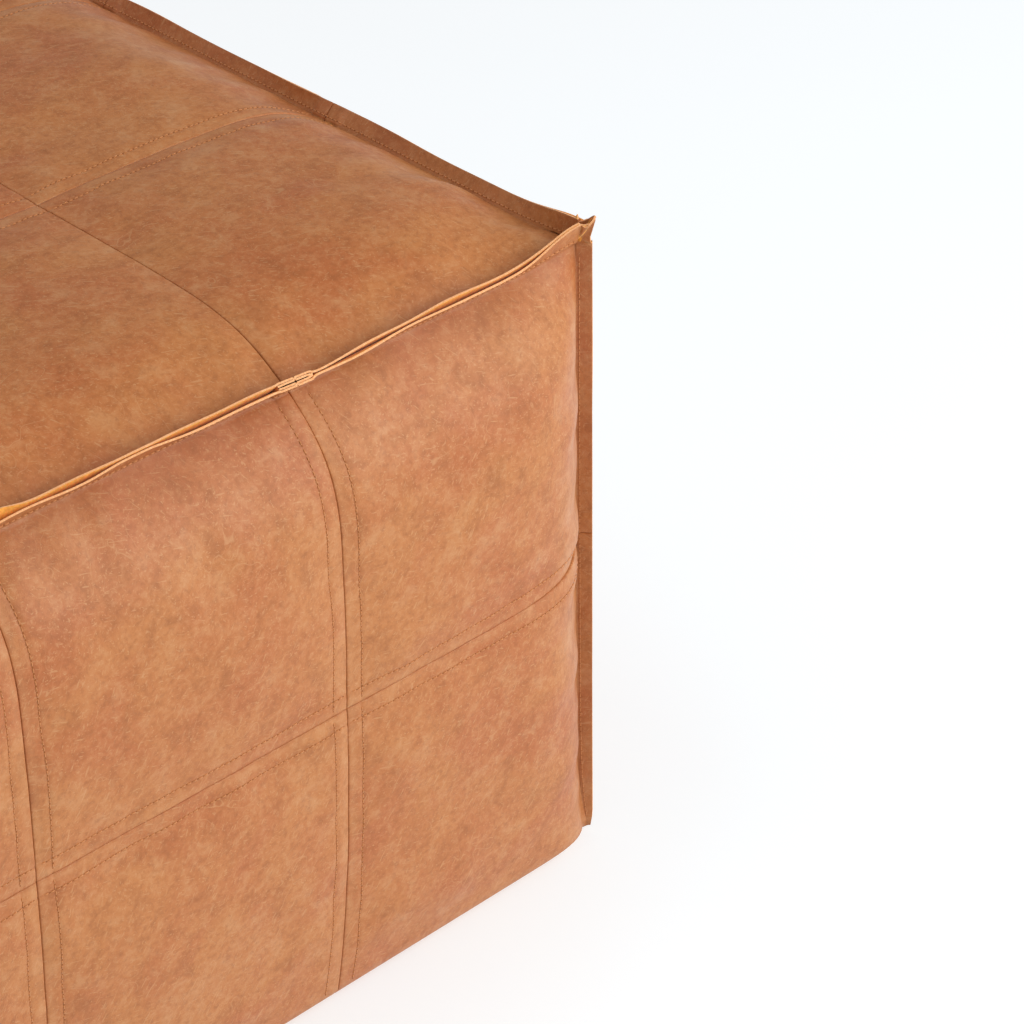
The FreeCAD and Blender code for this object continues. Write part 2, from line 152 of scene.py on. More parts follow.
class Finish:
    """A material with short names for the nodes that this pouf needs."""

    def __init__(self, name, roughness, specular=0.5, sheen=0.0):
        self.material = bpy.data.materials.new(name)
        self.material.use_nodes = True
        self.nodes = self.material.node_tree.nodes
        self.link = self.material.node_tree.links.new
        self.surface = self.nodes["Principled BSDF"]
        self.surface.inputs["Roughness"].default_value = roughness
        self.surface.inputs["Specular IOR Level"].default_value = specular
        if sheen:
            self.surface.inputs["Sheen Weight"].default_value = sheen
            self.surface.inputs["Sheen Roughness"].default_value = 0.5
        self.place = self.nodes.new("ShaderNodeTexCoord").outputs["Object"]

    def add(self, kind, inputs, **settings):
        """A node with its settings, and each input linked to a socket or set to a value."""
        node = self.nodes.new(kind)
        for key, value in settings.items():
            setattr(node, key, value)
        for key, value in inputs.items():
            if isinstance(value, bpy.types.NodeSocket):
                self.link(value, node.inputs[key])
            else:
                node.inputs[key].default_value = value
        return node

    def noise(self, scale, detail=2.0, roughness=0.5, distortion=0.0, place=None):
        node = self.add("ShaderNodeTexNoise", {
            "Vector": place or self.place, "Scale": scale, "Detail": detail,
            "Roughness": roughness, "Distortion": distortion})
        return node.outputs["Fac"]

    def math(self, operation, first, second=0.0):
        return self.add("ShaderNodeMath", {0: first, 1: second}, operation=operation).outputs[0]

    def ramp(self, value, low, high, out_low=0.0, out_high=1.0):
        node = self.add("ShaderNodeMapRange", {
            "Value": value, "From Min": low, "From Max": high,
            "To Min": out_low, "To Max": out_high})
        return node.outputs["Result"]

    def mix(self, factor, first, second):
        """Two colours mixed; sockets 0, 6 and 7 are the ones that a colour mix shows."""
        return self.add("ShaderNodeMix", {0: factor, 6: first, 7: second}, data_type="RGBA").outputs[2]

    def attribute(self, name):
        return self.add("ShaderNodeAttribute", {}, attribute_name=name)

    def hairlines(self, scale, width, place, distortion):
        """Thin wandering lines: where a noise passes through its middle value."""
        away = self.math("ABSOLUTE", self.math("SUBTRACT", self.noise(
            scale, 1.0, 0.5, distortion, place), 0.5))
        return self.ramp(away, 0.0, width, 1.0, 0.0)

    def scratches(self, place, turn, rarity):
        """Short straight marks: the crests of a noise that is stretched along one direction."""
        size = (1.1 * MM, 1.1 * MM, 13 * MM)
        laid = self.add("ShaderNodeMapping", {"Vector": place, "Rotation": turn, "Scale": size},
                        vector_type="TEXTURE").outputs[0]
        return self.ramp(self.noise(1.0, 1.0, 0.5, 0.5, laid), rarity, rarity + 0.06)

    def finish(self, colour, height=None, strength=0.3, distance=0.4 * MM, roughness=None):
        """The finished material: a colour, and bumps where a height is given."""
        self.link(colour, self.surface.inputs["Base Color"])
        if height is not None:
            bump = self.add("ShaderNodeBump", {"Height": height, "Strength": strength,
                                               "Distance": distance})
            self.link(bump.outputs["Normal"], self.surface.inputs["Normal"])
        if roughness is not None:
            self.link(roughness, self.surface.inputs["Roughness"])
        return self.material


# %% Leather, its flesh side and its raw edges
SCRATCH_TURNS = ((0.3, 0.5, 0.2), (1.5, -0.4, 0.9), (-0.9, 1.2, 2.0), (0.2, 2.2, -0.7))


def leather(name, base, red, pale, deep, scuffs=1.0):
    """Leather in four tones; scuffs scales how strongly the scuffs show."""
    made = Finish(name, roughness=0.5, specular=0.3)
    cut_from = made.attribute("hide").outputs["Vector"]
    place = made.add("ShaderNodeVectorMath", {0: made.place, 1: cut_from}, operation="ADD").outputs[0]
    clouds = made.noise(14, 4, 0.6, 0.4, place)
    patches = made.noise(62, 5, 0.68, 0.5, place)
    fine = made.noise(260, 4, 0.7, 0.3, place)
    colour = made.mix(made.ramp(clouds, 0.4, 0.62), shade(base), shade(red))
    colour = made.mix(made.ramp(patches, 0.5, 0.72, 0.0, 0.5), colour, shade(deep))
    colour = made.mix(made.ramp(patches, 0.48, 0.3, 0.0, 0.45), colour, shade(pale))
    colour = made.mix(made.ramp(fine, 0.5, 0.7, 0.0, 0.45), colour, shade(deep))
    colour = made.mix(made.ramp(fine, 0.48, 0.3, 0.0, 0.38), colour, shade(pale))
    where = made.ramp(made.noise(24, 2, 0.5, 0.0, place), 0.45, 0.62)
    lines = made.math("MULTIPLY", made.hairlines(46, 0.005, place, 0.2), where)
    for number, turn in enumerate(SCRATCH_TURNS):
        lines = made.math("MAXIMUM", lines, made.scratches(place, turn, 0.66 + 0.01 * number))
    colour = made.mix(made.math("MULTIPLY", lines, 0.55 * scuffs), colour, shade(pale))
    # Paler where rubbed; darker with painted shade in stitch troughs and beside the lips, and on the
    # lips with painted shade and their darker dye.
    rub = made.attribute("rub").outputs["Fac"]
    colour = made.mix(made.ramp(rub, 0.5, 1.0, 0.0, 0.55), colour, shade(pale))
    colour = made.mix(made.ramp(rub, 0.5, 0.0, 0.0, 0.75), colour, shade(deep))
    pebbles = made.add("ShaderNodeTexVoronoi", {"Vector": place, "Scale": 900.0},
                       feature="DISTANCE_TO_EDGE").outputs["Distance"]
    height = made.math("ADD", made.math("MULTIPLY", made.ramp(pebbles, 0.0, 0.25), 0.35),
                       made.math("MULTIPLY", made.noise(320, 3, 0.6, 0.3, place), 0.9))
    height = made.math("SUBTRACT", height, made.math("MULTIPLY", lines, 0.5))
    roughness = made.ramp(patches, 0.3, 0.7, 0.38, 0.5)
    return made.finish(colour, height, 0.22, 0.35 * MM, roughness)


LEATHER = leather("caramel leather", "bb7743", "b3683a", "c89364", "91552e")
BASE_LEATHER = leather("brown base leather", "8d6244", "83573a", "a37b5c", "66422b", 0.5)


def suede(name, base, dark, scale=500):
    """The flesh side of leather, or its cut edge: a nap of fibres."""
    made = Finish(name, roughness=0.85, specular=0.2, sheen=0.15)
    nap = made.noise(scale, 3, 0.6)
    colour = made.mix(made.ramp(nap, 0.35, 0.7), shade(dark), shade(base))
    return made.finish(colour, nap, 0.4, 0.3 * MM)


FLESH = suede("flesh side", "f4ac50", "d88f3a")
flesh_surface = FLESH.node_tree.nodes["Principled BSDF"].inputs
flesh_surface["Subsurface Weight"].default_value = 0.25
flesh_surface["Subsurface Scale"].default_value = 2 * MM
RAW_EDGE = suede("raw edge", "f5bd8a", "e29c64", 1200)
BASE_FLESH = suede("flesh side of the base", "a57f5b", "7d5b3c")


def thread_finish(name, base, dark):
    made = Finish(name, roughness=0.55, specular=0.4, sheen=0.2)
    twist = made.noise(2600, 2, 0.5)
    return made.finish(made.mix(twist, shade(dark), shade(base)), twist, 0.3, 0.1 * MM)


THREAD = thread_finish("tan thread", "d48c50", "b06c36")
# Each needle hole is a flat dark disc: painted shade for the shadow inside the hole.
hole = Finish("needle hole", 0.9, 0.1)
NEEDLE_HOLE_SHADE = hole.finish(hole.mix(hole.noise(2000), shade("8f522b"), shade("9d6036")))

# The sweep glows a little by itself, so that shadows on it stay light.
sweep = Finish("white sweep", 0.9, 0.0)
sweep.surface.inputs["Emission Color"].default_value = (1.0, 0.87, 0.84, 1)
sweep.surface.inputs["Emission Strength"].default_value = 0.61
floor_mesh.materials.append(sweep.finish(
    sweep.mix(sweep.noise(3.0, 2), shade("adc6ce"), shade("b0c8d0"))))
print("%d materials" % len(bpy.data.materials))

# %% [markdown]
# ## The form of the filled bag
# The filling pushes each face out.  A face swells quickly beside a flange and is
# nearly flat in its middle, which a tanh curve describes with one length: its reach.
# A side also leans in towards the floor, where its lower patches roll under.  Each
# face has two coordinates of its own, in metres along the leather: `across` from the
# middle, and `down` from the top flange or, on the top, towards the back.

# %% Form of the cover
LIFT = 1.1 * MM                      # the grain stands this far off the plane of a seam
SIDE_REACH, FOOT_REACH, TOP_REACH = 34 * MM, 100 * MM, 40 * MM
FOOT_PULL = 0.67                     # share of a side's swell that is gone at the floor
FOOT_CORNER, FOOT_CORNER_FADE = 5 * MM, 26 * MM
FOOT_SQUARING, FOOT_SQUARED = 24 * MM, 45 * MM   # on the floor the corners are squarer
ROLL = 9 * MM                        # radius where a side turns under
UNDER_TURN = 40 * MM                 # how far it runs in under the base
FULLEST = 0.955                      # a side's largest share of its swell
SIDE_SWELL = (-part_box("side_front_middle_upper")[0].y - HALF - LIFT) / FULLEST
TOP_SWELL = middle_high.z - TOP - LIFT
WALL = TOP - ROLL                    # the path down a side: wall, roll and under-turn
ARC = ROLL * math.pi / 2
PATH = WALL + ARC + UNDER_TURN - ROLL
CORNER_LIFT = 3.0 * MM               # the seam rises a little towards each top corner
CORNER_REACH = 26 * MM


def corner_lift(first_gap, second_gap):
    """Rise of the seam near a top corner, from the distances to the two seams that meet there."""
    return CORNER_LIFT * np.exp(-(first_gap ** 2 + second_gap ** 2) / CORNER_REACH ** 2)


def fade(across, reach):
    """1 in the middle of a face, falling to 0 at both of its edges."""
    return np.tanh((HALF - across) / reach) * np.tanh((HALF + across) / reach)


def swell(across, height):
    """How far a side stands out from the plane of its seams."""
    upper = np.tanh((TOP - height) / SIDE_REACH)
    lower = 1 - FOOT_PULL * np.exp(-height / FOOT_REACH)
    reach = SIDE_REACH - FOOT_SQUARING * np.exp(-height / FOOT_SQUARED)
    return SIDE_SWELL * fade(across, reach) * upper * lower


def foot_corner(height):
    """How far the corners of the bag reach into their flanges near the floor."""
    return FOOT_CORNER * np.exp(-height / FOOT_CORNER_FADE)


def side_form(across, down):
    """Points of the front face, before seams and creases."""
    height = np.clip(TOP - down, ROLL, TOP)
    angle = np.clip((down - WALL) / ROLL, 0, math.pi / 2)
    under = np.clip(down - WALL - ARC, 0, None)
    under_share = np.clip(under / (UNDER_TURN - ROLL), 0, 1)
    stand = swell(across, height) * (1 - 0.5 * angle / (math.pi / 2)) * (1 - under_share)
    reach = foot_corner(height) * (1 - under_share)
    inset = ROLL * (1 - np.cos(angle)) + under
    out = LIFT + np.maximum(stand, reach) - inset
    z = height - ROLL * np.sin(angle)
    inner = PATCH / 2
    shrink = np.minimum(LIFT - inset, 0) + reach
    wide = np.abs(across) > inner
    x = np.where(wide, np.sign(across) * (inner + (np.abs(across) - inner)
                 * (HALF - inner + shrink) / (HALF - inner)), across)
    return np.stack([x, -HALF - out, z + corner_lift(HALF - np.abs(across), down)], -1)


def top_form(across, back):
    """Points of the top face: x across and y towards the back."""
    z = TOP + LIFT + TOP_SWELL * fade(across, TOP_REACH) * fade(back, TOP_REACH)
    z = z + corner_lift(HALF - np.abs(across), HALF - np.abs(back))
    return np.stack([across, back, z], -1)


def turned(points, quarter):
    """Points of the front face, turned to another side."""
    a = quarter * math.pi / 2
    c, s = round(math.cos(a)), round(math.sin(a))
    x, y, z = points[..., 0], points[..., 1], points[..., 2]
    return np.stack([c * x - s * y, s * x + c * y, z], -1)


def normals(form, a, b, facing):
    """Directions square to a form; facing is -1 where its coordinates run left-handed."""
    step = 0.5 * MM
    along = form(a + step, b) - form(a - step, b)
    up = form(a, b + step) - form(a, b - step)
    n = facing * np.cross(along, up)
    return n / np.linalg.norm(n, axis=-1, keepdims=True)


# %% [markdown]
# ## Ripples
# Hand-sewn leather is never quite smooth.  A few sine waves in random directions,
# added up, give a gentle unevenness with a known wavelength.  The random numbers are
# seeded, so the pouf comes out the same each time.  A few more helpers, which every
# later piece uses, stand beside them.

# %% Ripples and helpers
def ripple(seed, wavelength, waves=9, stretch=1.0):
    """A smooth uneven surface with heights of about -1 to 1, drawn out along b by stretch."""
    random = np.random.default_rng(seed)
    turn = random.uniform(0, 2 * math.pi, waves)
    rate = 2 * math.pi / (wavelength * random.uniform(0.75, 1.5, waves))
    phase = random.uniform(0, 2 * math.pi, waves)

    def height(a, b=0.0):
        a, b = np.asarray(a, float), np.asarray(b, float)
        total = 0
        for t, r, p in zip(turn, rate, phase):
            total = total + np.sin(r * (np.cos(t) * a + np.sin(t) * b / stretch) + p)
        return total / math.sqrt(waves / 2) / 1.6
    return height


def bump_at(distance, middle, width):
    """A rounded bump of height 1."""
    return np.exp(-((distance - middle) / width) ** 2)


def smooth_step(value, start, end):
    """0 up to start and 1 from end on, with a smooth rise between."""
    share = np.clip((value - start) / (end - start), 0, 1)
    return share * share * (3 - 2 * share)


def grid_quads(rows, columns):
    """The faces of a grid of points, by the points' numbers."""
    index = np.arange(rows * columns).reshape(rows, columns)
    corners = (index[:-1, :-1], index[:-1, 1:], index[1:, 1:], index[1:, :-1])
    return np.stack(corners, -1).reshape(-1, 4)


def smooth_mesh(name, points, faces, *materials):
    mesh = bpy.data.meshes.new(name)
    mesh.from_pydata(points.reshape(-1, 3).tolist(), [], faces)
    mesh.polygons.foreach_set("use_smooth", [True] * len(mesh.polygons))
    for material in materials:
        mesh.materials.append(material)
    return mesh


def cover_piece(name, mesh, node):
    """A piece that rides on the cover and takes the place of a solid."""
    piece = new_object(name, mesh)
    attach(piece, "cover")
    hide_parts(node)
    return piece


# %% [markdown]
# ## Creases from a cloth simulation
# The filling presses the leather out while the seams hold it back, and leather cut a
# little too large for its seams has to crease.  A coarse closed bag of the same form is
# simulated as cloth: its seams are pinned, air pressure stands for the filling, and the
# cloth is allowed to grow a little.  Only the small creases are kept from the result.
# They are added later to the fine shape of each patch.

# %% Simulate the bag
CELLS, CELLS_DOWN = 48, 32           # grid cells across and down a face
SEAM_HOLD = 5 * MM                   # points this near to a seam are pinned
WELD = 4 * MM                        # seam points this close together are one point
PRESSURE = 4.0
GROWTH = 0.035                       # share by which the cloth is cut too large
SETTLE_FRAMES = 20
CREASE_LIMIT = 6 * MM                # the farthest a point may move
CREASE_DEPTH = 1.3 * MM              # the deepest crease that is kept
CREASE_WIDTH = 4                     # in cells: broader forms than this are left out
across_line = np.linspace(-HALF, HALF, CELLS + 1)
down_line = np.linspace(0, WALL, CELLS_DOWN + 1)


def blurred(height, cells):
    """A height map smoothed over a number of cells, with its edges mirrored."""
    reach = 3 * cells
    weights = np.exp(-0.5 * (np.arange(-reach, reach + 1) / cells) ** 2)
    weights /= weights.sum()
    for axis in (0, 1):
        margins = [(reach, reach) if a == axis else (0, 0) for a in (0, 1)]
        height = np.apply_along_axis(lambda line: np.convolve(line, weights, "valid"),
                                     axis, np.pad(height, margins, "reflect"))
    return height


def bag_grids():
    """The bag's six faces: points, outward directions of all but the base, distances to seams."""
    X, Y = np.meshgrid(across_line, across_line)
    A, D = np.meshgrid(across_line, down_line)
    base_share = (HALF - ROLL) / HALF
    base = np.stack([X * base_share, Y * base_share, 0 * X + 2 * MM], -1)
    grids = [top_form(X, Y)] + [turned(side_form(A, D), k) for k in range(4)] + [base]
    facings = [normals(top_form, X, Y, 1)]
    facings += [turned(normals(side_form, A, D, -1), k) for k in range(4)]
    on_top = np.minimum.reduce([HALF - abs(X), HALF - abs(Y),
                                abs(abs(X) - PATCH / 2), abs(abs(Y) - PATCH / 2)])
    on_side = np.minimum.reduce([HALF - abs(A), abs(abs(A) - PATCH / 2), D,
                                 abs(D - (TOP - ROW)), WALL - D])
    to_seam = np.concatenate([g.ravel() for g in [on_top] + [on_side] * 4 + [0 * X]])
    return grids, facings, to_seam


def settled(points, faces, held):
    """The points after air pressure has pressed the cloth out between its pinned seams."""
    mesh = bpy.data.meshes.new("simulated bag")
    mesh.from_pydata(points.tolist(), [], faces.tolist())
    bag = new_object("simulated bag", mesh)
    pins = bag.vertex_groups.new(name="seams")
    pins.add(np.nonzero(held)[0].tolist(), 1.0, "REPLACE")
    cloth = bag.modifiers.new("cloth", "CLOTH")
    settings = cloth.settings
    settings.quality = 5
    settings.mass = 0.4
    settings.vertex_group_mass = "seams"
    settings.use_pressure = True
    settings.uniform_pressure_force = PRESSURE
    settings.shrink_min = -GROWTH
    settings.tension_stiffness = settings.compression_stiffness = 18
    settings.bending_stiffness = 1.2
    settings.effector_weights.gravity = 0.0
    cloth.collision_settings.use_collision = False
    cloth.collision_settings.use_self_collision = False
    for frame_number in range(1, SETTLE_FRAMES + 1):
        bpy.context.scene.frame_set(frame_number)
    after = bag.evaluated_get(bpy.context.evaluated_depsgraph_get()).data
    places = np.empty(len(points) * 3)
    after.vertices.foreach_get("co", places)
    bpy.context.scene.frame_set(1)
    bpy.data.objects.remove(bag)
    bpy.data.meshes.remove(mesh)
    return places.reshape(-1, 3)


def simulated_creases():
    """Height maps of the creases: the top's, then the four sides'."""
    grids, facings, to_seam = bag_grids()
    points = np.concatenate([g.reshape(-1, 3) for g in grids])
    held = to_seam < SEAM_HOLD
    merged = np.arange(len(points))
    rim = np.nonzero(held)[0]
    gaps = np.linalg.norm(points[rim][:, None] - points[rim][None], axis=-1)
    merged[rim] = rim[(gaps < WELD).argmax(1)]
    quads, start = [], 0
    for number, grid in enumerate(grids):
        rows, columns = grid.shape[:2]
        quad = start + grid_quads(rows, columns)
        quads.append(merged[quad if number == 0 else quad[:, ::-1]])
        start += rows * columns
    used, compact = np.unique(np.concatenate(quads), return_inverse=True)
    places = settled(points[used], compact.reshape(-1, 4), held[used])
    moved = places[np.searchsorted(used, merged)] - points
    moved[held] = 0
    maps, start = [], 0
    for grid, facing in zip(grids, facings):
        count = grid.shape[0] * grid.shape[1]
        height = (moved[start:start + count].reshape(grid.shape) * facing).sum(-1)
        height = np.clip(height, -CREASE_LIMIT, CREASE_LIMIT)
        crease = height - blurred(height, CREASE_WIDTH)
        maps.append(CREASE_DEPTH * np.tanh(crease / CREASE_DEPTH))
        start += count
    return maps


creases = simulated_creases()
print("creases up to %.2f mm" % (max(abs(m).max() for m in creases) / MM))


def spline(distance):
    """The cubic B-spline's weight at a distance in cells."""
    d = np.abs(distance)
    near = 2 / 3 - d ** 2 + d ** 3 / 2
    far = np.clip(2 - d, 0, None) ** 3 / 6
    return np.where(d < 1, near, far)


def crease_at(number, across, down, first_line, second_line):
    """A crease map read between its grid points with smooth steps."""
    grid = creases[number]
    u = np.clip((across - first_line[0]) / (first_line[1] - first_line[0]), 0, grid.shape[1] - 1.001)
    v = np.clip((down - second_line[0]) / (second_line[1] - second_line[0]), 0, grid.shape[0] - 1.001)
    total = 0
    columns, rows = np.floor(u).astype(int), np.floor(v).astype(int)
    for step_v in (-1, 0, 1, 2):
        for step_u in (-1, 0, 1, 2):
            weight = spline(u - columns - step_u) * spline(v - rows - step_v)
            row = np.clip(rows + step_v, 0, grid.shape[0] - 1)
            column = np.clip(columns + step_u, 0, grid.shape[1] - 1)
            total = total + weight * grid[row, column]
    return total


# %% [markdown]
# ## A patch of leather
# A patch is one grid of points, laid out in the patch's own coordinates.  At a seam
# between patches the grid curls over and runs back under the leather, as the pressed
# seam allowance does, so the groove of the seam is made by two real folds.  At a
# flange the grid turns out along the lip.  One builder makes every patch: it takes the
# face's form and the kind of edge on each of the patch's four sides.

# %% Grid lines across a patch
THICK = 1.05 * MM                    # thickness of the leather
FOLD = 1.15 * MM                     # height of the leather's fold where it turns under
SQUEEZE = 0.62                       # the two folds of a seam press each other flatter
TOPSTITCH = 9.6 * MM                 # distance of the topstitching from the seam
NEAR_EDGE = [2.0, 3.0, 4.5, 6.5, 8.3, 9.0, 9.6, 10.2, 11.2, 13, 16, 20, 25]  # in millimetres
SEAM, PLAIN, LIP, CUT = "topstitched seam", "plain seam", "lip", "cut"


def edge_lines(kind, lip_width):
    """Grid lines from a patch's edge inwards: (distance in, height, distance along the lip)."""
    lines = []
    if kind in (SEAM, PLAIN):
        for back in (10.5, 7.0, 3.5, 1.8):
            lines.append((back * MM, -2 * FOLD, 0))
        for angle in np.radians((-90, -60, -30, 0, 25, 50, 70, 90)):
            lines.append((SQUEEZE * FOLD * (1.03 - math.cos(angle)), FOLD * (math.sin(angle) - 1), 0))
    elif kind == LIP:
        for share in (1.0, 0.93, 0.8, 0.65, 0.5, 0.35, 0.2, 0.08):
            lines.append((0, 0, share * lip_width))
        lines.append((0, 0, 0))
        lines.append((0.8 * MM, 0, 0))
    else:
        lines.append((0, 0, 0))
    return lines + [(d * MM, 0, 0) for d in NEAR_EDGE]


def grid_lines(start, end, start_kind, end_kind, lip_width, pitch=5.2 * MM):
    first = [(start + d, h, e) for d, h, e in edge_lines(start_kind, lip_width)]
    last = [(end - d, h, e) for d, h, e in edge_lines(end_kind, lip_width)][::-1]
    count = max(2, round((last[0][0] - first[-1][0]) / pitch))
    between = np.linspace(first[-1][0], last[0][0], count + 1)[1:-1]
    lines = first + [(c, 0, 0) for c in between] + last
    side = [-1] * len(first) + [0] * len(between) + [1] * len(last)
    place, height, lip = (np.array(v, float) for v in zip(*lines))
    return place, height, lip, np.array(side)


# %% Sheets with two faces and raw edges
def sheet_mesh(name, points, thickness, materials, present=None, attributes=None, facing=1):
    """A mesh of a grid of points: grain outside, flesh inside, and an edge all round."""
    rows, columns = points.shape[:2]
    if present is None:
        present = np.ones((rows - 1, columns - 1), bool)
    along = np.gradient(points, axis=1)
    down = np.gradient(points, axis=0)
    n = facing * np.cross(along, down)
    n /= np.maximum(np.linalg.norm(n, axis=-1, keepdims=True), 1e-12)
    inner = points - n * thickness
    every = np.concatenate([points.reshape(-1, 3), inner.reshape(-1, 3)])
    index = np.arange(rows * columns).reshape(rows, columns)
    under = index + rows * columns
    i, j = np.nonzero(present)
    grain = np.stack([index[i, j], index[i, j + 1], index[i + 1, j + 1], index[i + 1, j]], -1)
    flesh = np.stack([under[i, j], under[i + 1, j], under[i + 1, j + 1], under[i, j + 1]], -1)
    padded = np.pad(present, 1)
    rims = []
    for di, dj, a, b in ((-1, 0, (0, 1), (0, 0)), (1, 0, (1, 0), (1, 1)),
                         (0, -1, (0, 0), (1, 0)), (0, 1, (1, 1), (0, 1))):
        open_side = present & ~padded[1 + di:rows + di, 1 + dj:columns + dj]
        i, j = np.nonzero(open_side)
        first, second = (i + a[0], j + a[1]), (i + b[0], j + b[1])
        rims.append(np.stack([index[first], index[second], under[second], under[first]], -1))
    rims = np.concatenate(rims)
    faces = np.concatenate([grain, flesh, rims])
    used = np.unique(faces)
    renumber = np.full(len(every), -1)
    renumber[used] = np.arange(len(used))
    mesh = bpy.data.meshes.new(name)
    mesh.from_pydata(every[used].tolist(), [], renumber[faces[:, ::-facing]].tolist())
    for material in materials:
        mesh.materials.append(material)
    kinds = np.repeat([0, 1, 2], [len(grain), len(flesh), len(rims)])
    mesh.polygons.foreach_set("material_index", kinds.astype(np.int32))
    mesh.polygons.foreach_set("use_smooth", (kinds < 2))
    for key, value in (attributes or {}).items():
        value = np.broadcast_to(value, points.shape[:2] + np.shape(value)[2:])
        twice = np.concatenate([value.reshape(rows * columns, -1)] * 2)[used]
        if twice.shape[1] == 1:
            layer = mesh.attributes.new(key, "FLOAT", "POINT")
            layer.data.foreach_set("value", twice.ravel().astype(np.float32))
        else:
            layer = mesh.attributes.new(key, "FLOAT_VECTOR", "POINT")
            layer.data.foreach_set("vector", twice.ravel().astype(np.float32))
    mesh.update()
    return mesh


# %% [markdown]
# ## Lips
# The two lips of a flange share one seam.  They lean the same way, because the seam
# does, and each curls away from the other towards its tip, which opens the gap where
# the flesh side shows.  Where a seam between patches runs into the flange, its folded
# allowances lie between the lips and push them apart.

# %% Lips of the flanges
TOP_LIP = 9.6 * MM
CORNER_LIP = 8.6 * MM
TOP_LIP_RISE = math.radians(48)
EAR_RISE = math.radians(26)          # a lip stands up more steeply beside a corner
NEAR_CORNER = 34 * MM
LIP_FOOT = WALL + 7 * MM             # where an upright flange ends, on the roll
lean_of_edge = [ripple(40 + k, 110 * MM, 5) for k in range(4)]
flare_of_edge = [ripple(60 + k, 55 * MM, 5) for k in range(4)]
SEAMS_ACROSS = (-PATCH / 2, PATCH / 2)
STACK_ROOM = 2 * FOLD - THICK + 0.1 * MM
GAPE = {(0, 0): 3.2 * MM}            # the front flange gapes at its left seam


def stack(across):
    """1 where the folded allowances of a seam lie between the lips of a flange, else 0."""
    return sum(1 - smooth_step(np.abs(across - seam), 9 * MM, 12.5 * MM) for seam in SEAMS_ACROSS)


def top_lip(across, along_lip, height, quarter, grain_side):
    """Points of a lip of the front flange: grain_side is +1 on the top's lip, -1 on the side's."""
    to_corner = HALF - np.abs(across)
    near = np.exp(-(to_corner / NEAR_CORNER) ** 2)
    rise = TOP_LIP_RISE + EAR_RISE * near
    lean = 0.10 * (1 - near) * lean_of_edge[quarter](across)
    rise = rise + lean * np.minimum(along_lip / TOP_LIP, 1)
    out, up = np.cos(rise), np.sin(rise)
    flare = 0.85 * MM + 0.75 * MM * flare_of_edge[quarter](across)
    for (edge, seam), wide in GAPE.items():
        if edge == quarter and grain_side > 0:
            flare = flare + wide * bump_at(across, SEAMS_ACROSS[seam] + 20 * MM, 12 * MM)
    flare = np.maximum(flare, 0.25 * MM)
    stacked = stack(across)
    flare = flare * (1 - 0.7 * near) * (1 - 0.85 * stacked)
    off = THICK + 0.1 * MM + STACK_ROOM * stacked + flare * (along_lip / TOP_LIP) ** 2.6 + height
    wave = (1 - near) * 0.5 * MM * lean_of_edge[quarter](across * 1.7 + 0.3) * along_lip / TOP_LIP
    uneven = 0.05 * (1 - near) * flare_of_edge[quarter](across * 0.8 - 0.2)
    length = along_lip * (1 + 0.28 * near + uneven)
    outwards = out * length - grain_side * up * off - up * wave
    z = TOP + corner_lift(to_corner, 0) + up * length + grain_side * out * off + out * wave
    return np.stack([across, -HALF - outwards, z], -1)


def corner_lip(side, along_lip, height, down, quarter):
    """Points of the front face's lip on an upright flange: side is -1 on the left, 1 on the right."""
    z = TOP - down
    taken = math.sqrt(2) * foot_corner(np.maximum(z, 0))
    along_lip = taken + along_lip * (1 - taken / CORNER_LIP)
    edge = quarter if side > 0 else (quarter - 1) % 4
    sway = 0.6 * MM * lean_of_edge[edge](z + 0.5) * along_lip / CORNER_LIP
    flare = 0.3 * MM + 0.2 * MM * flare_of_edge[edge](z)
    off = THICK + 0.1 * MM + np.maximum(flare, 0.1 * MM) * (along_lip / CORNER_LIP) ** 1.6 + height
    off = off + STACK_ROOM * (1 - smooth_step(np.abs(z - ROW), 9 * MM, 12.5 * MM))
    outwards = (along_lip - off) / math.sqrt(2) - side * sway
    frontwards = (along_lip + off) / math.sqrt(2) + side * sway
    z = z + corner_lift(0, down)
    return np.stack([side * (HALF + outwards), -HALF - frontwards, z], -1)


# %% The folded ear at each top corner
# The outline of the raw edge round a corner: (share of the way round, out from the
# corner along the diagonal, along the other diagonal, up), in millimetres.
TOP_EAR = ((0.00, 4.3, -4.3, 13.0), (0.16, 7.0, -2.4, 15.0), (0.27, 9.6, -0.4, 17.6),
           (0.36, 9.9, 1.2, 18.2), (0.44, 8.6, 2.2, 17.0), (0.55, 5.0, 1.6, 14.6),
           (0.68, 1.4, 1.8, 13.8), (0.78, 0.0, 2.8, 15.0), (0.88, 0.4, 4.4, 18.4),
           (1.00, 4.3, 4.3, 13.0))
SIDE_EAR = ((0.00, 4.5, -5.6, 12.0), (0.25, 7.6, -3.6, 14.4), (0.44, 10.3, -2.0, 17.2),
            (0.52, 10.4, -1.4, 17.0), (0.70, 8.4, -1.3, 9.5), (0.85, 7.2, -1.4, 5.5),
            (1.00, 8.6, -1.4, -1.0))


def ear(outline, first_share, last_share, first_lip, last_lip, side=1):
    """The leather of a corner, between the ends of two lips, in the frame of the front right corner.

    first_share runs from the seam to the tip of the first lip, and last_share to the tip
    of the last one.
    """
    radius = np.maximum(first_share, last_share)
    safe = np.maximum(radius, 1e-9)
    way = np.where(last_share <= first_share, 0.5 * last_share / safe, 1 - 0.5 * first_share / safe)
    table = np.array(outline) * [1, MM, MM, MM]
    out, over, up = (np.interp(way, table[:, 0], table[:, k]) for k in (1, 2, 3))
    out, over, up = out * radius, over * radius, CORNER_LIFT * (1 - radius) + up * radius
    spread = math.sqrt(0.5)
    tip = np.stack([side * (HALF + (out + over) * spread), -HALF + (over - out) * spread, TOP + up], -1)
    first = np.clip(1 - way / 0.16, 0, 1)[..., None]
    last = np.clip(1 - (1 - way) / 0.12, 0, 1)[..., None]
    return first * first_lip + last * last_lip + (1 - first - last) * tip


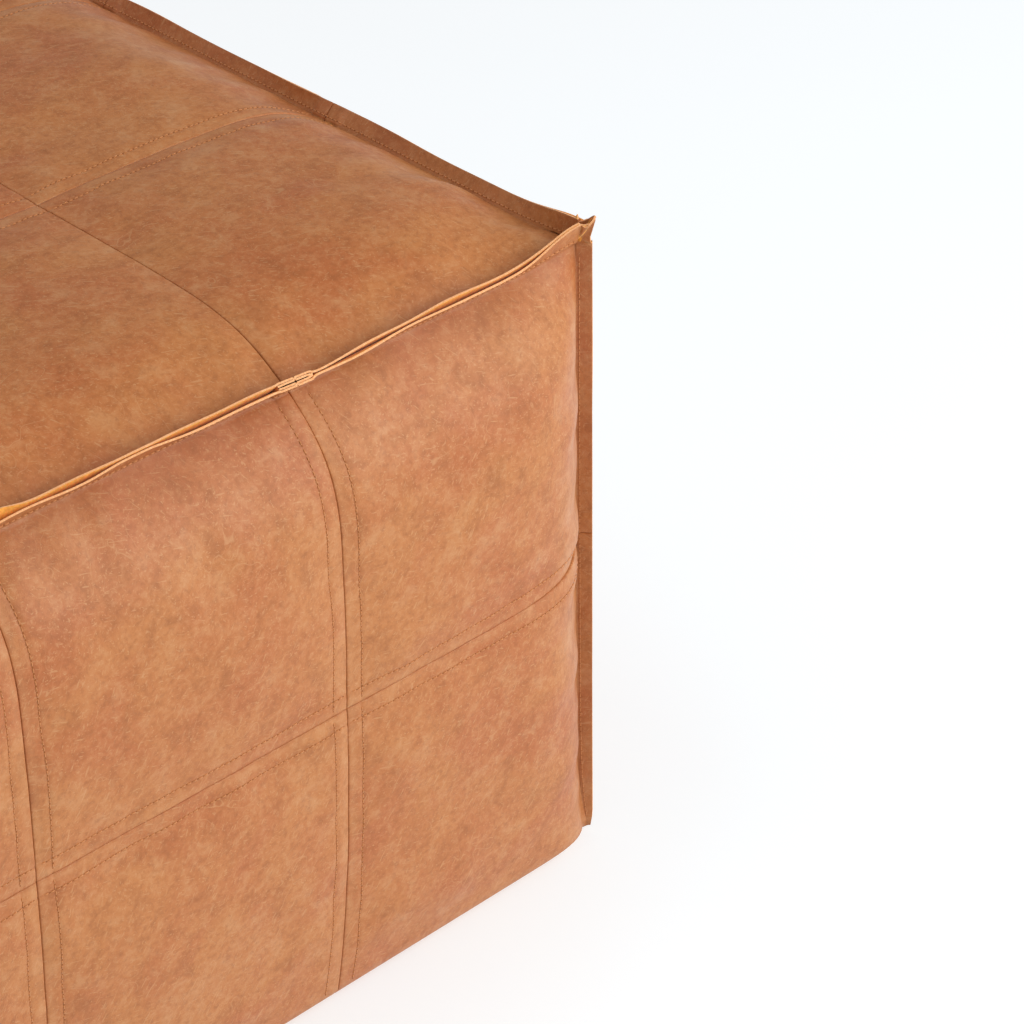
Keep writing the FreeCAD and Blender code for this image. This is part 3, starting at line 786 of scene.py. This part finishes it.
# %% [markdown]
# ## Fine shape of a patch
# Three things shape the leather between its seams.  Beside a pressed seam it lies two
# layers thick, and it steps down where the allowance ends.  The topstitching pulls a
# shallow trough.  Beside a flange the gathered seam puckers it in short ribs that die
# away within a hand's width.

# %% Fine shape
def fine_shape(a, b, low_a, high_a, low_b, high_b, kinds, seed):
    """Height of the leather above the form, with the patch's edges left where they are."""
    broad = ripple(seed, 130 * MM)
    small = ripple(seed + 1, 42 * MM)
    height = np.zeros(np.broadcast(a, b).shape)
    guard = np.ones_like(height)
    distances = (a - low_a, high_a - a, b - low_b, high_b - b)
    alongs = (b, b, a, a)
    for number, (kind, distance, along) in enumerate(zip(kinds, distances, alongs)):
        guard = guard * (1 - np.exp(-np.maximum(distance, 0) / (14 * MM)))
        if kind == SEAM:
            pull = ripple(seed + 10 + number, 17 * MM, 6)(along)
            height = height + 0.35 * MM * (1 - smooth_step(distance, 9.2 * MM, 14 * MM))
            height = height - (0.38 + 0.16 * pull) * MM * bump_at(distance, TOPSTITCH, 1.3 * MM)
            height = height + 0.25 * MM * pull * bump_at(distance, 14 * MM, 7 * MM)
        if kind in (SEAM, PLAIN):
            height = height - 0.9 * MM * np.exp(-distance / (30 * MM))
        elif kind == LIP:
            ribs = ripple(seed + 20 + number, 30 * MM, 6)(along, distance * 0.3)
            near = distance / (13 * MM) * np.exp(1 - distance / (13 * MM))
            height = height + 0.75 * MM * ribs * near
    return height + guard * (1.1 * MM * broad(a, b) + 0.3 * MM * small(a, b) + 1.0 * MM)


def rubbed_and_shaded(a, b, low_a, high_a, low_b, high_b, kinds):
    """How rubbed the leather is and where shade is painted on it: 0.5 is plain, 1 is pale from rubbing,
    0 is dark with painted shade.
    """
    rub = np.full(np.broadcast(a, b).shape, 0.5)
    for kind, distance in zip(kinds, (a - low_a, high_a - a, b - low_b, high_b - b)):
        if kind == SEAM:
            # Paler on the seam's ridge, where rubbing burnishes the leather.
            rub = rub + 0.16 * bump_at(distance, 3.2 * MM, 1.6 * MM)
            # Painted shade: darker in the trough that the topstitching pulls.
            rub = rub - 0.12 * bump_at(distance, TOPSTITCH, 1.0 * MM)
        elif kind == LIP:
            # Painted shade: darker towards the root of a lip, in the hollow beside it.
            rub = rub - 0.25 * np.exp(-np.maximum(distance, 0) / (5 * MM))
    return np.clip(rub, 0, 1)


# %% One patch
skins = {}                           # node -> what the stitching needs to know of its patch
# The lips are darker partly from their own darker dye and partly from painted shade, as they face away
# from the key light.
LIP_DYE_AND_SHADE = 0.42                       # the lips are a little darker than the patches


def skin(node, a, b, fold=0.0):
    """Points of a patch's grain face at (a, b), away from its lips."""
    form, a_range, b_range, kinds, quarter, seed, is_top = skins[node]
    a, b = np.broadcast_arrays(np.asarray(a, float), np.asarray(b, float))
    detail = fine_shape(a, b, *a_range, *b_range, kinds, seed)
    if is_top:
        detail = detail + crease_at(0, a, b, across_line, across_line)
    else:
        detail = detail + crease_at(1 + quarter, a, b, across_line, down_line)
    n = normals(form, a, b, 1 if is_top else -1)
    if not is_top:
        detail = detail * (1 - smooth_step(b, WALL - 40 * MM, WALL + 8 * MM))
        n = np.where((b > WALL + ARC)[..., None], np.array([0, 0, -1.0]), n)
    return form(a, b) + n * (detail + fold)[..., None]


class PatchGrid:
    """The grid of one patch, and which of its lines belong to which lip."""

    def __init__(self, a_range, b_range, kinds, lip_a):
        self.ranges = a_range + b_range          # the seams: low a, high a, low b, high b
        self.kinds = kinds
        self.a, a_height, self.a_lip, self.a_side = grid_lines(*a_range, *kinds[:2], lip_a)
        self.b, b_height, self.b_lip, self.b_side = grid_lines(*b_range, *kinds[2:], TOP_LIP)
        self.A, self.B = np.meshgrid(self.a, self.b)
        self.a_height, self.b_height = np.meshgrid(a_height, b_height)
        self.a_reach, self.b_reach = np.meshgrid(self.a_lip, self.b_lip)

    def on_lip(self, number):
        """A mask of the points on lip 0 to 3 (low a, high a, low b, high b), with its seam."""
        side, seam = (-1, 1)[number % 2], self.ranges[number]
        if number < 2:
            lines = (self.a_side == side) & ((self.a_lip > 0) | (np.abs(self.a - seam) < 1e-9))
            return np.broadcast_to(lines[None, :], self.A.shape)
        lines = (self.b_side == side) & ((self.b_lip > 0) | (np.abs(self.b - seam) < 1e-9))
        return np.broadcast_to(lines[:, None], self.A.shape)


def top_with_lips(grid, points):
    """A patch of the top with its lips turned out, and its ear where two of them meet."""
    masks = []
    for number, edge in ((2, 0), (1, 1), (3, 2), (0, 3)):
        if grid.kinds[number] != LIP:
            continue
        if number < 2:
            along, reach, layer = grid.B, grid.a_reach, grid.b_height
        else:
            along, reach, layer = grid.A, grid.b_reach, grid.a_height
        if edge > 1:
            along = -along
        mask = grid.on_lip(number)
        lip = turned(top_lip(along, reach, layer, edge, 1), edge)
        points = np.where(mask[..., None], lip, points)
        masks.append(mask)
    if len(masks) < 2:
        return points
    low_a, high_a, low_b, high_b = grid.ranges
    corner = {(1, -1): 0, (1, 1): 1, (-1, 1): 2, (-1, -1): 3}[
        (np.sign(low_a + high_a), np.sign(low_b + high_b))]
    shares = (grid.b_reach / TOP_LIP, grid.a_reach / TOP_LIP)
    first_share, last_share = shares if corner % 2 == 0 else shares[::-1]
    flat = np.zeros_like(grid.A)
    first_lip = top_lip(flat + HALF, first_share * TOP_LIP, flat, corner, 1)
    last_lip = turned(top_lip(flat - HALF, last_share * TOP_LIP, flat, (corner + 1) % 4, 1), 1)
    folded = turned(ear(TOP_EAR, first_share, last_share, first_lip, last_lip), corner)
    return np.where((masks[0] & masks[1])[..., None], folded, points)


FOOT_TAPER = 12 * MM                 # an upright lip narrows over this length at its foot


def side_with_lips(grid, points, quarter):
    """A patch of the front with its lips, and a mask of the grid cells that it keeps."""
    present = np.ones((len(grid.b) - 1, len(grid.a) - 1), bool)
    has_top_lip = grid.kinds[2] == LIP
    if has_top_lip:
        lip = top_lip(grid.A, grid.b_reach, grid.a_height, quarter, -1)
        points = np.where(grid.on_lip(2)[..., None], lip, points)
    for number, side in ((0, -1), (1, 1)):
        if grid.kinds[number] != LIP:
            continue
        mask = grid.on_lip(number)
        into_foot = ((grid.B - LIP_FOOT + FOOT_TAPER) / FOOT_TAPER).clip(0, 1)
        width = grid.a_reach * np.sqrt(1 - into_foot ** 2)
        lip = corner_lip(side, width, grid.b_height, grid.B, quarter)
        upright = mask & (grid.b_reach <= 0) & (grid.B <= LIP_FOOT)
        points = np.where(upright[..., None], lip, points)
        strip = (grid.a_side[:-1] == side) & (grid.a_side[1:] == side) & (
            (grid.a_lip[:-1] > 0) | (grid.a_lip[1:] > 0))
        present &= ~(strip[None, :] & (grid.b[1:] > LIP_FOOT)[:, None])
        if has_top_lip:
            flat = np.zeros_like(grid.A)
            first_lip = top_lip(flat + side * HALF, grid.b_reach, flat, quarter, -1)
            last_lip = corner_lip(side, grid.a_reach, flat, flat, quarter)
            folded = ear(SIDE_EAR, grid.b_reach / TOP_LIP, grid.a_reach / CORNER_LIP,
                         first_lip, last_lip, side)
            points = np.where((mask & grid.on_lip(2))[..., None], folded, points)
    return turned(points, quarter), present


def make_patch(node, form, a_range, b_range, kinds, quarter, seed, is_top):
    """One leather patch: its grain, its folds and lips, and its wear and painted shade."""
    skins[node] = (form, a_range, b_range, kinds, quarter, seed, is_top)
    lip_a = TOP_LIP if is_top else CORNER_LIP
    grid = PatchGrid(a_range, b_range, kinds, lip_a)
    points = skin(node, grid.A, grid.B, grid.a_height + grid.b_height)
    if is_top:
        points, present = top_with_lips(grid, points), None
    else:
        points, present = side_with_lips(grid, points, quarter)
    rub = rubbed_and_shaded(grid.A, grid.B, *a_range, *b_range, kinds)
    # On the lips: their darker dye and painted shade.
    rub = np.where((grid.a_reach > 0) | (grid.b_reach > 0), LIP_DYE_AND_SHADE, rub)
    tone = np.random.default_rng(seed).uniform(-4, 4, 3)
    mesh = sheet_mesh(node + "_leather", points, THICK, (LEATHER, FLESH, RAW_EDGE), present,
                      {"rub": rub, "hide": np.broadcast_to(tone, points.shape)},
                      1 if is_top else -1)
    patch = cover_piece(node + "_leather", mesh, node)


def stretch(column):
    """Where a column of patches begins and ends."""
    return -HALF + PATCH * column, -HALF + PATCH * (column + 1)


# %% The nine patches of the top
COLUMNS = ("left", "middle", "right")
BACKWARDS = ("front", "middle", "back")
seed = 100
for row, row_name in enumerate(BACKWARDS):
    for column, column_name in enumerate(COLUMNS):
        kinds = (LIP if column == 0 else PLAIN, LIP if column == 2 else PLAIN,
                 LIP if row == 0 else SEAM, LIP if row == 2 else SEAM)
        make_patch("top_%s_%s" % (row_name, column_name), top_form,
                   stretch(column), stretch(row), kinds, 0, seed, True)
        seed += 50

# %% The six patches of each side
SIDES = ("front", "right", "back", "left")
ROW_DOWN = TOP - ROW
for quarter, side_name in enumerate(SIDES):
    for column, column_name in enumerate(COLUMNS):
        side_kinds = (LIP if column == 0 else SEAM, LIP if column == 2 else SEAM)
        for row_name, extent, kinds, later in (
                ("upper", (0, ROW_DOWN), (LIP, SEAM), 0), ("lower", (ROW_DOWN, PATH), (SEAM, CUT), 25)):
            make_patch("side_%s_%s_%s" % (side_name, column_name, row_name), side_form,
                       stretch(column), extent, side_kinds + kinds, quarter, seed + later, False)
        seed += 50

# %% [markdown]
# ## Topstitching
# A row of machine stitches runs each side of a topstitched seam, about ten millimetres
# out, and another along the root of every lip.  Each stitch is its own short piece of
# thread, a little fatter in its middle, whose ends dive into the leather.  A dark disc of
# painted shade follows it, for the shadow inside its needle hole.

# %% Stitches
STITCH_PITCH = 3.4 * MM
STITCH_LENGTH = 2.5 * MM
THREAD_RADIUS = 0.36 * MM
HOLE_LENGTH, HOLE_WIDTH = 1.2 * MM, 0.75 * MM
AROUND = 6                           # points round a stitch, and round a needle hole
spokes = np.arange(AROUND) * 2 * math.pi / AROUND
# Rings of a stitch: (place along it, thickness, lift), each as a share.
STATIONS = ((-1.0, 0.55, -0.55), (-0.72, 0.95, 0.0), (0.0, 1.0, 0.42),
            (0.72, 0.95, 0.0), (1.0, 0.55, -0.55))


def stitches(surface, along, beside, facing=1, step=0.4 * MM):
    """Stitches on surface(u, v), running along u at the fixed coordinates given."""
    middle = surface(along, beside)
    forward = surface(along + step, beside) - surface(along - step, beside)
    across = surface(along, beside + step) - surface(along, beside - step)
    forward /= np.linalg.norm(forward, axis=-1, keepdims=True)
    up = facing * np.cross(forward, across)
    up /= np.linalg.norm(up, axis=-1, keepdims=True)
    sideways = np.cross(up, forward)
    rings = []
    for place, fat, lift in STATIONS:
        centre = middle + forward * (place * STITCH_LENGTH / 2) + up * (lift * THREAD_RADIUS)
        for angle in spokes:
            spoke = sideways * math.cos(angle) + up * math.sin(angle)
            rings.append(centre + spoke * (fat * THREAD_RADIUS))
    rim = []
    for angle in spokes:
        rim.append(middle + forward * (STITCH_PITCH / 2 + math.cos(angle) * HOLE_LENGTH / 2)
                   + sideways * (math.sin(angle) * HOLE_WIDTH / 2) + up * (0.07 * MM))
    return np.stack(rings + rim, 1)  # stitch, point, xyz


def stitch_faces(count):
    """The faces of so many stitches and their holes."""
    faces = []
    for ring in range(len(STATIONS) - 1):
        for k in range(AROUND):
            a, b = ring * AROUND + k, ring * AROUND + (k + 1) % AROUND
            faces.append((a, b, b + AROUND, a + AROUND))
    hole = len(STATIONS) * AROUND
    faces.append((hole, hole + 1, hole + 2, hole + 3))
    faces.append((hole, hole + 3, hole + 4, hole + 5))
    one = np.array(faces)
    return (one[None] + np.arange(count)[:, None, None] * (len(STATIONS) + 1) * AROUND).reshape(-1, 4)


def places_along(start, end):
    """Evenly spaced stitches that fill a stretch."""
    count = int((end - start) / STITCH_PITCH)
    slack = (end - start - (count - 1) * STITCH_PITCH) / 2
    return start + slack + np.arange(count) * STITCH_PITCH


def thread_object(name, groups):
    every = np.concatenate(groups)
    mesh = smooth_mesh(name, every, stitch_faces(len(every)).tolist(), THREAD, NEEDLE_HOLE_SHADE)
    kinds = np.zeros(len(mesh.polygons), np.int32).reshape(len(every), -1)
    # Material 1 is the painted shade of the needle holes.
    kinds[:, -2:] = 1                # a stitch's last two faces are its needle hole
    mesh.polygons.foreach_set("material_index", kinds.ravel())
    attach(new_object(name, mesh), "cover")


def seam_rows(node):
    """Topstitching along the topstitched seams of one patch."""
    _, (a0, a1), (b0, b1), kinds, quarter, _, is_top = skins[node]
    facing = 1 if is_top else -1
    down = places_along(b0 + 2 * MM, (b1 if is_top else min(b1, WALL)) - 2 * MM)
    over = places_along(a0 + 2 * MM, a1 - 2 * MM)
    groups = []
    for kind, line in zip(kinds[:2], (a0 + TOPSTITCH, a1 - TOPSTITCH)):
        if kind == SEAM:
            groups.append(stitches(lambda u, v: skin(node, v, u), down, line, -facing))
    for kind, line in zip(kinds[2:], (b0 + TOPSTITCH, b1 - TOPSTITCH)):
        if kind == SEAM:
            groups.append(stitches(lambda u, v: skin(node, u, v), over, line, facing))
    return [turned(group, quarter) for group in groups]


LIP_ROOT = 1.7 * MM                  # distance of the lips' stitches from their seam
top_rows = sum((seam_rows(n) for n in skins if n.startswith("top_")), [])
flange_places = places_along(-HALF + 3 * MM, HALF - 3 * MM)
for quarter in range(4):
    top_rows.append(turned(stitches(
        lambda u, v: top_lip(u, v, 0 * u, quarter, 1), flange_places, LIP_ROOT, -1), quarter))
thread_object("top_stitching", top_rows)
for quarter, side_name in enumerate(SIDES):
    side_rows = sum((seam_rows(n) for n in skins if n.startswith("side_%s_" % side_name)), [])
    side_rows.append(turned(stitches(
        lambda u, v: top_lip(u, v, 0 * u, quarter, -1), flange_places, LIP_ROOT, 1), quarter))
    for side in (-1, 1):
        side_rows.append(turned(stitches(
            lambda u, v: corner_lip(side, v, 0 * u, u, quarter),
            places_along(6 * MM, LIP_FOOT - 8 * MM), LIP_ROOT, -side), quarter))
    thread_object("%s_stitching" % side_name, side_rows)
print("stitches %.1f mm apart" % (STITCH_PITCH / MM))

# %% [markdown]
# ## The base
# Two halves of plainer leather close the bag underneath.  Each turns up a narrow hem
# beside the zip.  They lie on the turned-under edges of the sides and are sewn to them.

# %% Base leather
BASE_THICK = 1.2 * MM
BASE_FACES = (BASE_LEATHER, BASE_FLESH, BASE_FLESH)
BASE_HIDE = np.array([[[1.7, 3.1, 0.4]]])


def flat_sheet(name, node, x_range, profile, thickness, materials, pitch=9 * MM,
               facing=1, round_ends=0.0):
    """A strip of constant profile along X: profile is a list of (y, z) along its outer face."""
    xs = np.linspace(*x_range, max(2, round((x_range[1] - x_range[0]) / pitch)) + 1)
    line = np.array(profile)
    points = np.stack(np.broadcast_arrays(xs[None, :], line[:, :1], line[:, 1:]), -1)
    if round_ends:
        middle = (line[0, 0] + line[-1, 0]) / 2
        half = abs(line[-1, 0] - line[0, 0]) / 2
        inset = round_ends * (1 - np.sqrt(1 - (np.abs(line[:, 0] - middle) / half * 0.999) ** 2))
        ends = np.array(x_range)
        share = (xs - ends[0]) / (ends[1] - ends[0])
        length = ends[1] - ends[0] - 2 * inset
        points[..., 0] = (ends[0] + inset)[:, None] + share[None, :] * length[:, None]
    mesh = sheet_mesh(name, points, thickness, materials, None, {"rub": 0.5, "hide": BASE_HIDE}, facing)
    piece = cover_piece(name, mesh, node)


for sign, half_name in ((-1, "front"), (1, "back")):
    node = "base_" + half_name
    low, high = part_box(node)
    inner_y, outer_y = (high.y, low.y) if sign < 0 else (low.y, high.y)
    bend = 1.6 * MM                  # radius where the hem turns up
    profile = [(y, low.z) for y in np.linspace(outer_y, inner_y + sign * bend, 30)]
    profile += [(inner_y + sign * bend * (1 - math.sin(t)), low.z + bend * (1 - math.cos(t)))
                for t in np.radians((20, 40, 60, 80, 90))]
    profile += [(inner_y, z) for z in np.linspace(low.z + bend, high.z, 5)[1:]]
    flat_sheet(node + "_leather", node, (low.x, high.x), profile, BASE_THICK, BASE_FACES,
               facing=sign)
for end in ("left", "right"):
    node = "zip_end_tab_" + end
    low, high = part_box(node)
    flat_sheet(node + "_leather", node, (low.x, high.x),
               [(y, low.z) for y in np.linspace(low.y, high.y, 15)], BASE_THICK, BASE_FACES,
               3 * MM, -1, round_ends=6 * MM)

# %% Stitches of the base
base_low, base_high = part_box("base_front")[0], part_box("base_back")[1]
base_level = base_low.z
hem_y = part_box("base_front")[1].y


def flat_rows(lines):
    """Stitches on the underside along straight lines: (start, end, level), each point (x, y)."""
    groups = []
    for start, end, level in lines:
        start, end = np.array(start), np.array(end)
        length = np.linalg.norm(end - start)
        direction = (end - start) / length
        aside = np.array([-direction[1], direction[0]])

        def underside(u, v):
            u, v = np.broadcast_arrays(u, v)
            spot = start + u[..., None] * direction + v[..., None] * aside
            return np.concatenate([spot, np.full(spot.shape[:-1] + (1,), level)], -1)
        groups.append(stitches(underside, places_along(2 * MM, length - 2 * MM), 0.0, -1))
    return groups


rim = HALF - UNDER_TURN + 5 * MM
rim_level = 0.45 * MM
rim_corners = [(-rim, -rim), (rim, -rim), (rim, rim), (-rim, rim)]
lines = [(rim_corners[k], rim_corners[(k + 1) % 4], rim_level) for k in range(4)]
for sign in (-1, 1):
    y = sign * (abs(hem_y) + 4 * MM)
    lines.append(((base_low.x + 8 * MM, y), (base_high.x - 8 * MM, y), base_level))
for end in ("left", "right"):
    low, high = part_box("zip_end_tab_" + end)
    x = high.x - 3 * MM if end == "left" else low.x + 3 * MM
    lines.append(((x, low.y + 3 * MM), (x, high.y - 3 * MM), base_level))
thread_object("base_stitching", flat_rows(lines))

# %% [markdown]
# ## The zip
# A coil zip is a springy thread wound into loops and sewn to the edge of a woven tape.
# The loops of the two coils sit between each other.  The slider and its pull are
# stamped brass and stay as the solids made them.

# %% Zip
def waves(made, scale, distortion, direction):
    """Parallel threads, as a wave texture."""
    return made.add("ShaderNodeTexWave", {"Vector": made.place, "Scale": scale,
                                          "Distortion": distortion},
                    bands_direction=direction).outputs["Fac"]


tape = Finish("zip tape", 0.85, 0.2, 0.1)
weave = tape.math("MULTIPLY", waves(tape, 520.0, 0.4, "Y"), waves(tape, 420.0, 0.4, "X"))
TAPE = tape.finish(tape.mix(weave, shade("4a3324"), shade("65482f")), weave, 0.5, 0.2 * MM)
coil = Finish("zip coil", 0.4, 0.5)
COIL = coil.finish(coil.mix(coil.noise(400), shade("4e3727"), shade("5c4330")))
brass = Finish("brass", 0.32, 0.5)
brass.surface.inputs["Metallic"].default_value = 1.0
wear = brass.noise(260, 4, 0.6)
BRASS = brass.finish(brass.mix(wear, shade("a9803f"), shade("c9a05a")), wear, 0.15, 0.1 * MM)

LOOP_PITCH = 1.6 * MM
LOOP_POINTS = 14                     # points round a loop
LOOP_REACH = 0.55 * MM               # the loops of one coil reach this far in among the other's
WIRE = 0.34 * MM                     # radius of a coil's thread
WIRE_SIDES = 6
tape_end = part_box("zip_end_tab_right")[0].x + 5.5 * MM     # close under the tabs' round ends
for sign, half_name in ((-1, "front"), (1, "back")):
    node = "zip_tape_" + half_name
    low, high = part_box(node)
    flat_sheet(node + "_cloth", node, (-tape_end, tape_end),
               [(y, low.z) for y in np.linspace(low.y, high.y, 12)], 0.6 * MM,
               (TAPE,) * 3, facing=-1)
    node = "zip_coil_" + half_name
    low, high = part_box(node)
    turns = int((high.x - low.x) / LOOP_PITCH)
    t = np.arange(turns * LOOP_POINTS + 1) / LOOP_POINTS
    mouth = high.y + LOOP_REACH if sign < 0 else low.y - LOOP_REACH
    root = low.y + WIRE if sign < 0 else high.y - WIRE
    centre_y, half_y = (mouth + root) / 2, abs(mouth - root) / 2
    centre_z, half_z = (low.z + high.z) / 2, (high.z - low.z) / 2 - WIRE
    path = np.stack([low.x + (t + (0.5 if sign > 0 else 0)) * LOOP_PITCH,
                     centre_y - sign * half_y * np.cos(2 * math.pi * t),
                     centre_z + half_z * np.sin(2 * math.pi * t)], -1)
    path = path[path[:, 0] < high.x]
    tangent = np.gradient(path, axis=0)
    tangent /= np.linalg.norm(tangent, axis=-1, keepdims=True)
    side_way = np.cross(tangent, [1.0, 0.0, 0.0])
    side_way /= np.linalg.norm(side_way, axis=-1, keepdims=True)
    other = np.cross(tangent, side_way)
    ring = np.arange(WIRE_SIDES) * 2 * math.pi / WIRE_SIDES
    tube = path[:, None] + WIRE * (side_way[:, None] * np.cos(ring)[None, :, None]
                                   + other[:, None] * np.sin(ring)[None, :, None])
    index = np.arange(len(path) * WIRE_SIDES).reshape(len(path), WIRE_SIDES)
    after = np.roll(index, -1, 1)
    faces = np.stack([index[:-1], index[1:], after[1:], after[:-1]], -1).reshape(-1, 4).tolist()
    faces += [index[0].tolist(), index[-1, ::-1].tolist()]
    cover_piece(node + "_loops", smooth_mesh(node + "_loops", tube, faces, COIL), node)
for node in ("zip_stop_left", "zip_stop_right", "zip_slider", "zip_pull"):
    solid = bpy.data.objects[node]
    solid.data.materials.clear()
    solid.data.materials.append(BRASS)

# %% [markdown]
# ## The liner and the filling
# Inside, a bag of plain cotton keeps the loose filling together.  Its pieces follow the
# leather a few millimetres in, with soft wrinkles where the filling settles.

# %% Liner
cotton = Finish("plain cotton", 0.9, 0.2, 0.2)
warp = waves(cotton, 330.0, 1.0, "DIAGONAL")
COTTON = cotton.finish(cotton.mix(warp, shade("d9d0bd"), shade("e8e1d1")), warp, 0.4, 0.2 * MM)
LINER_STEPS = 60
CLOTH_THICK = 0.5 * MM


def liner_piece(node, form, a_range, b_range, quarter, facing, inset, seed):
    A, B = np.meshgrid(np.linspace(*a_range, LINER_STEPS), np.linspace(*b_range, LINER_STEPS))
    wrinkle = ripple(seed, 45 * MM, 8, 2.2)
    points = form(A, B) - normals(form, A, B, facing) * (inset + 0.5 * MM * wrinkle(A, B))[..., None]
    name = node + "_cloth"
    mesh = sheet_mesh(name, turned(points, quarter), CLOTH_THICK, (COTTON,) * 3, facing=facing)
    piece = cover_piece(name, mesh, node)


LINER_EDGE = HALF - 9 * MM
LINER_INSET = 4.2 * MM
liner_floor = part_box("liner_base")[0].z
liner_piece("liner_top", top_form, (-LINER_EDGE, LINER_EDGE), (-LINER_EDGE, LINER_EDGE), 0, 1,
            LINER_INSET, 4001)
for quarter, side_name in enumerate(SIDES):
    liner_piece("liner_" + side_name, side_form, (-LINER_EDGE, LINER_EDGE),
                (8 * MM, TOP - liner_floor - 2 * MM), quarter, -1, LINER_INSET, 4002 + quarter)


def base_form(across, back):
    bed = liner_floor + 0.0 * (across + back)
    return np.stack([across + 0 * back, back + 0 * across, bed], -1)


liner_piece("liner_base", base_form, (-LINER_EDGE + 6 * MM, LINER_EDGE - 6 * MM),
            (-LINER_EDGE + 6 * MM, LINER_EDGE - 6 * MM), 0, 1, -0.8 * MM, 4007)

# %% Filling
wadding = Finish("wadding", 0.95, 0.1, 0.3)
tufts = wadding.noise(120, 4, 0.6)
WADDING = wadding.finish(wadding.mix(tufts, shade("d8cdb6"), shade("ece4d2")), tufts, 0.7, 1.5 * MM)
STEPS = 44                           # grid cells across each face of the filling
FILLING_EDGE = HALF - 16 * MM
LUMP = 1.5 * MM
side_line = np.linspace(-1, 1, STEPS + 1)
U, V = np.meshgrid(side_line, side_line)
lumps = ripple(4100, 60 * MM, 10)
faces_of_cube = []
for axis in range(3):
    for sign in (-1, 1):
        cube = np.stack(np.broadcast_arrays(U, V, sign * 1.0), -1)
        cube = np.roll(cube, axis, -1)
        faces_of_cube.append((cube, (axis % 2 == 0) == (sign > 0)))


def filling_form(cube):
    """The filling fills the liner: a cube's points, moved out to the form of the bag."""
    edge = FILLING_EDGE
    x, y, z = (cube[..., k] for k in range(3))
    floor_level = liner_floor + 4 * MM
    height = floor_level + (z + 1) / 2 * (TOP - 12 * MM - floor_level)
    crown = TOP_SWELL * fade(x * edge, TOP_REACH) * fade(y * edge, TOP_REACH)
    least = swell(edge, height)
    out_y = y * (edge + swell(x * edge, height) - least + LUMP * lumps(x * edge, height))
    out_x = x * (edge + swell(y * edge, height) - least + LUMP * lumps(y * edge, height + 0.7))
    up = height + np.clip(z, 0, 1) * (crown + 1.5 * MM)
    return np.stack([out_x, out_y, up], -1)


bag_points, bag_faces, base_index = [], [], 0
quads = grid_quads(STEPS + 1, STEPS + 1)
for cube, straight in faces_of_cube:
    bag_points.append(filling_form(cube).reshape(-1, 3))
    bag_faces.append((quads if straight else quads[:, ::-1]) + base_index)
    base_index += (STEPS + 1) ** 2
bag = bmesh.new()
points = [bag.verts.new(p) for p in np.concatenate(bag_points).tolist()]
for face in np.concatenate(bag_faces).tolist():
    bag.faces.new([points[i] for i in face])
bmesh.ops.remove_doubles(bag, verts=bag.verts[:], dist=0.05 * MM)
bmesh.ops.recalc_face_normals(bag, faces=bag.faces[:])
filling_mesh = bpy.data.meshes.new("filling_bag")
bag.to_mesh(filling_mesh)
bag.free()
filling_mesh.polygons.foreach_set("use_smooth", [True] * len(filling_mesh.polygons))
filling_mesh.materials.append(WADDING)
filling_bag = cover_piece("filling_bag", filling_mesh, "filling")
print("filling of %d faces" % len(filling_mesh.polygons))
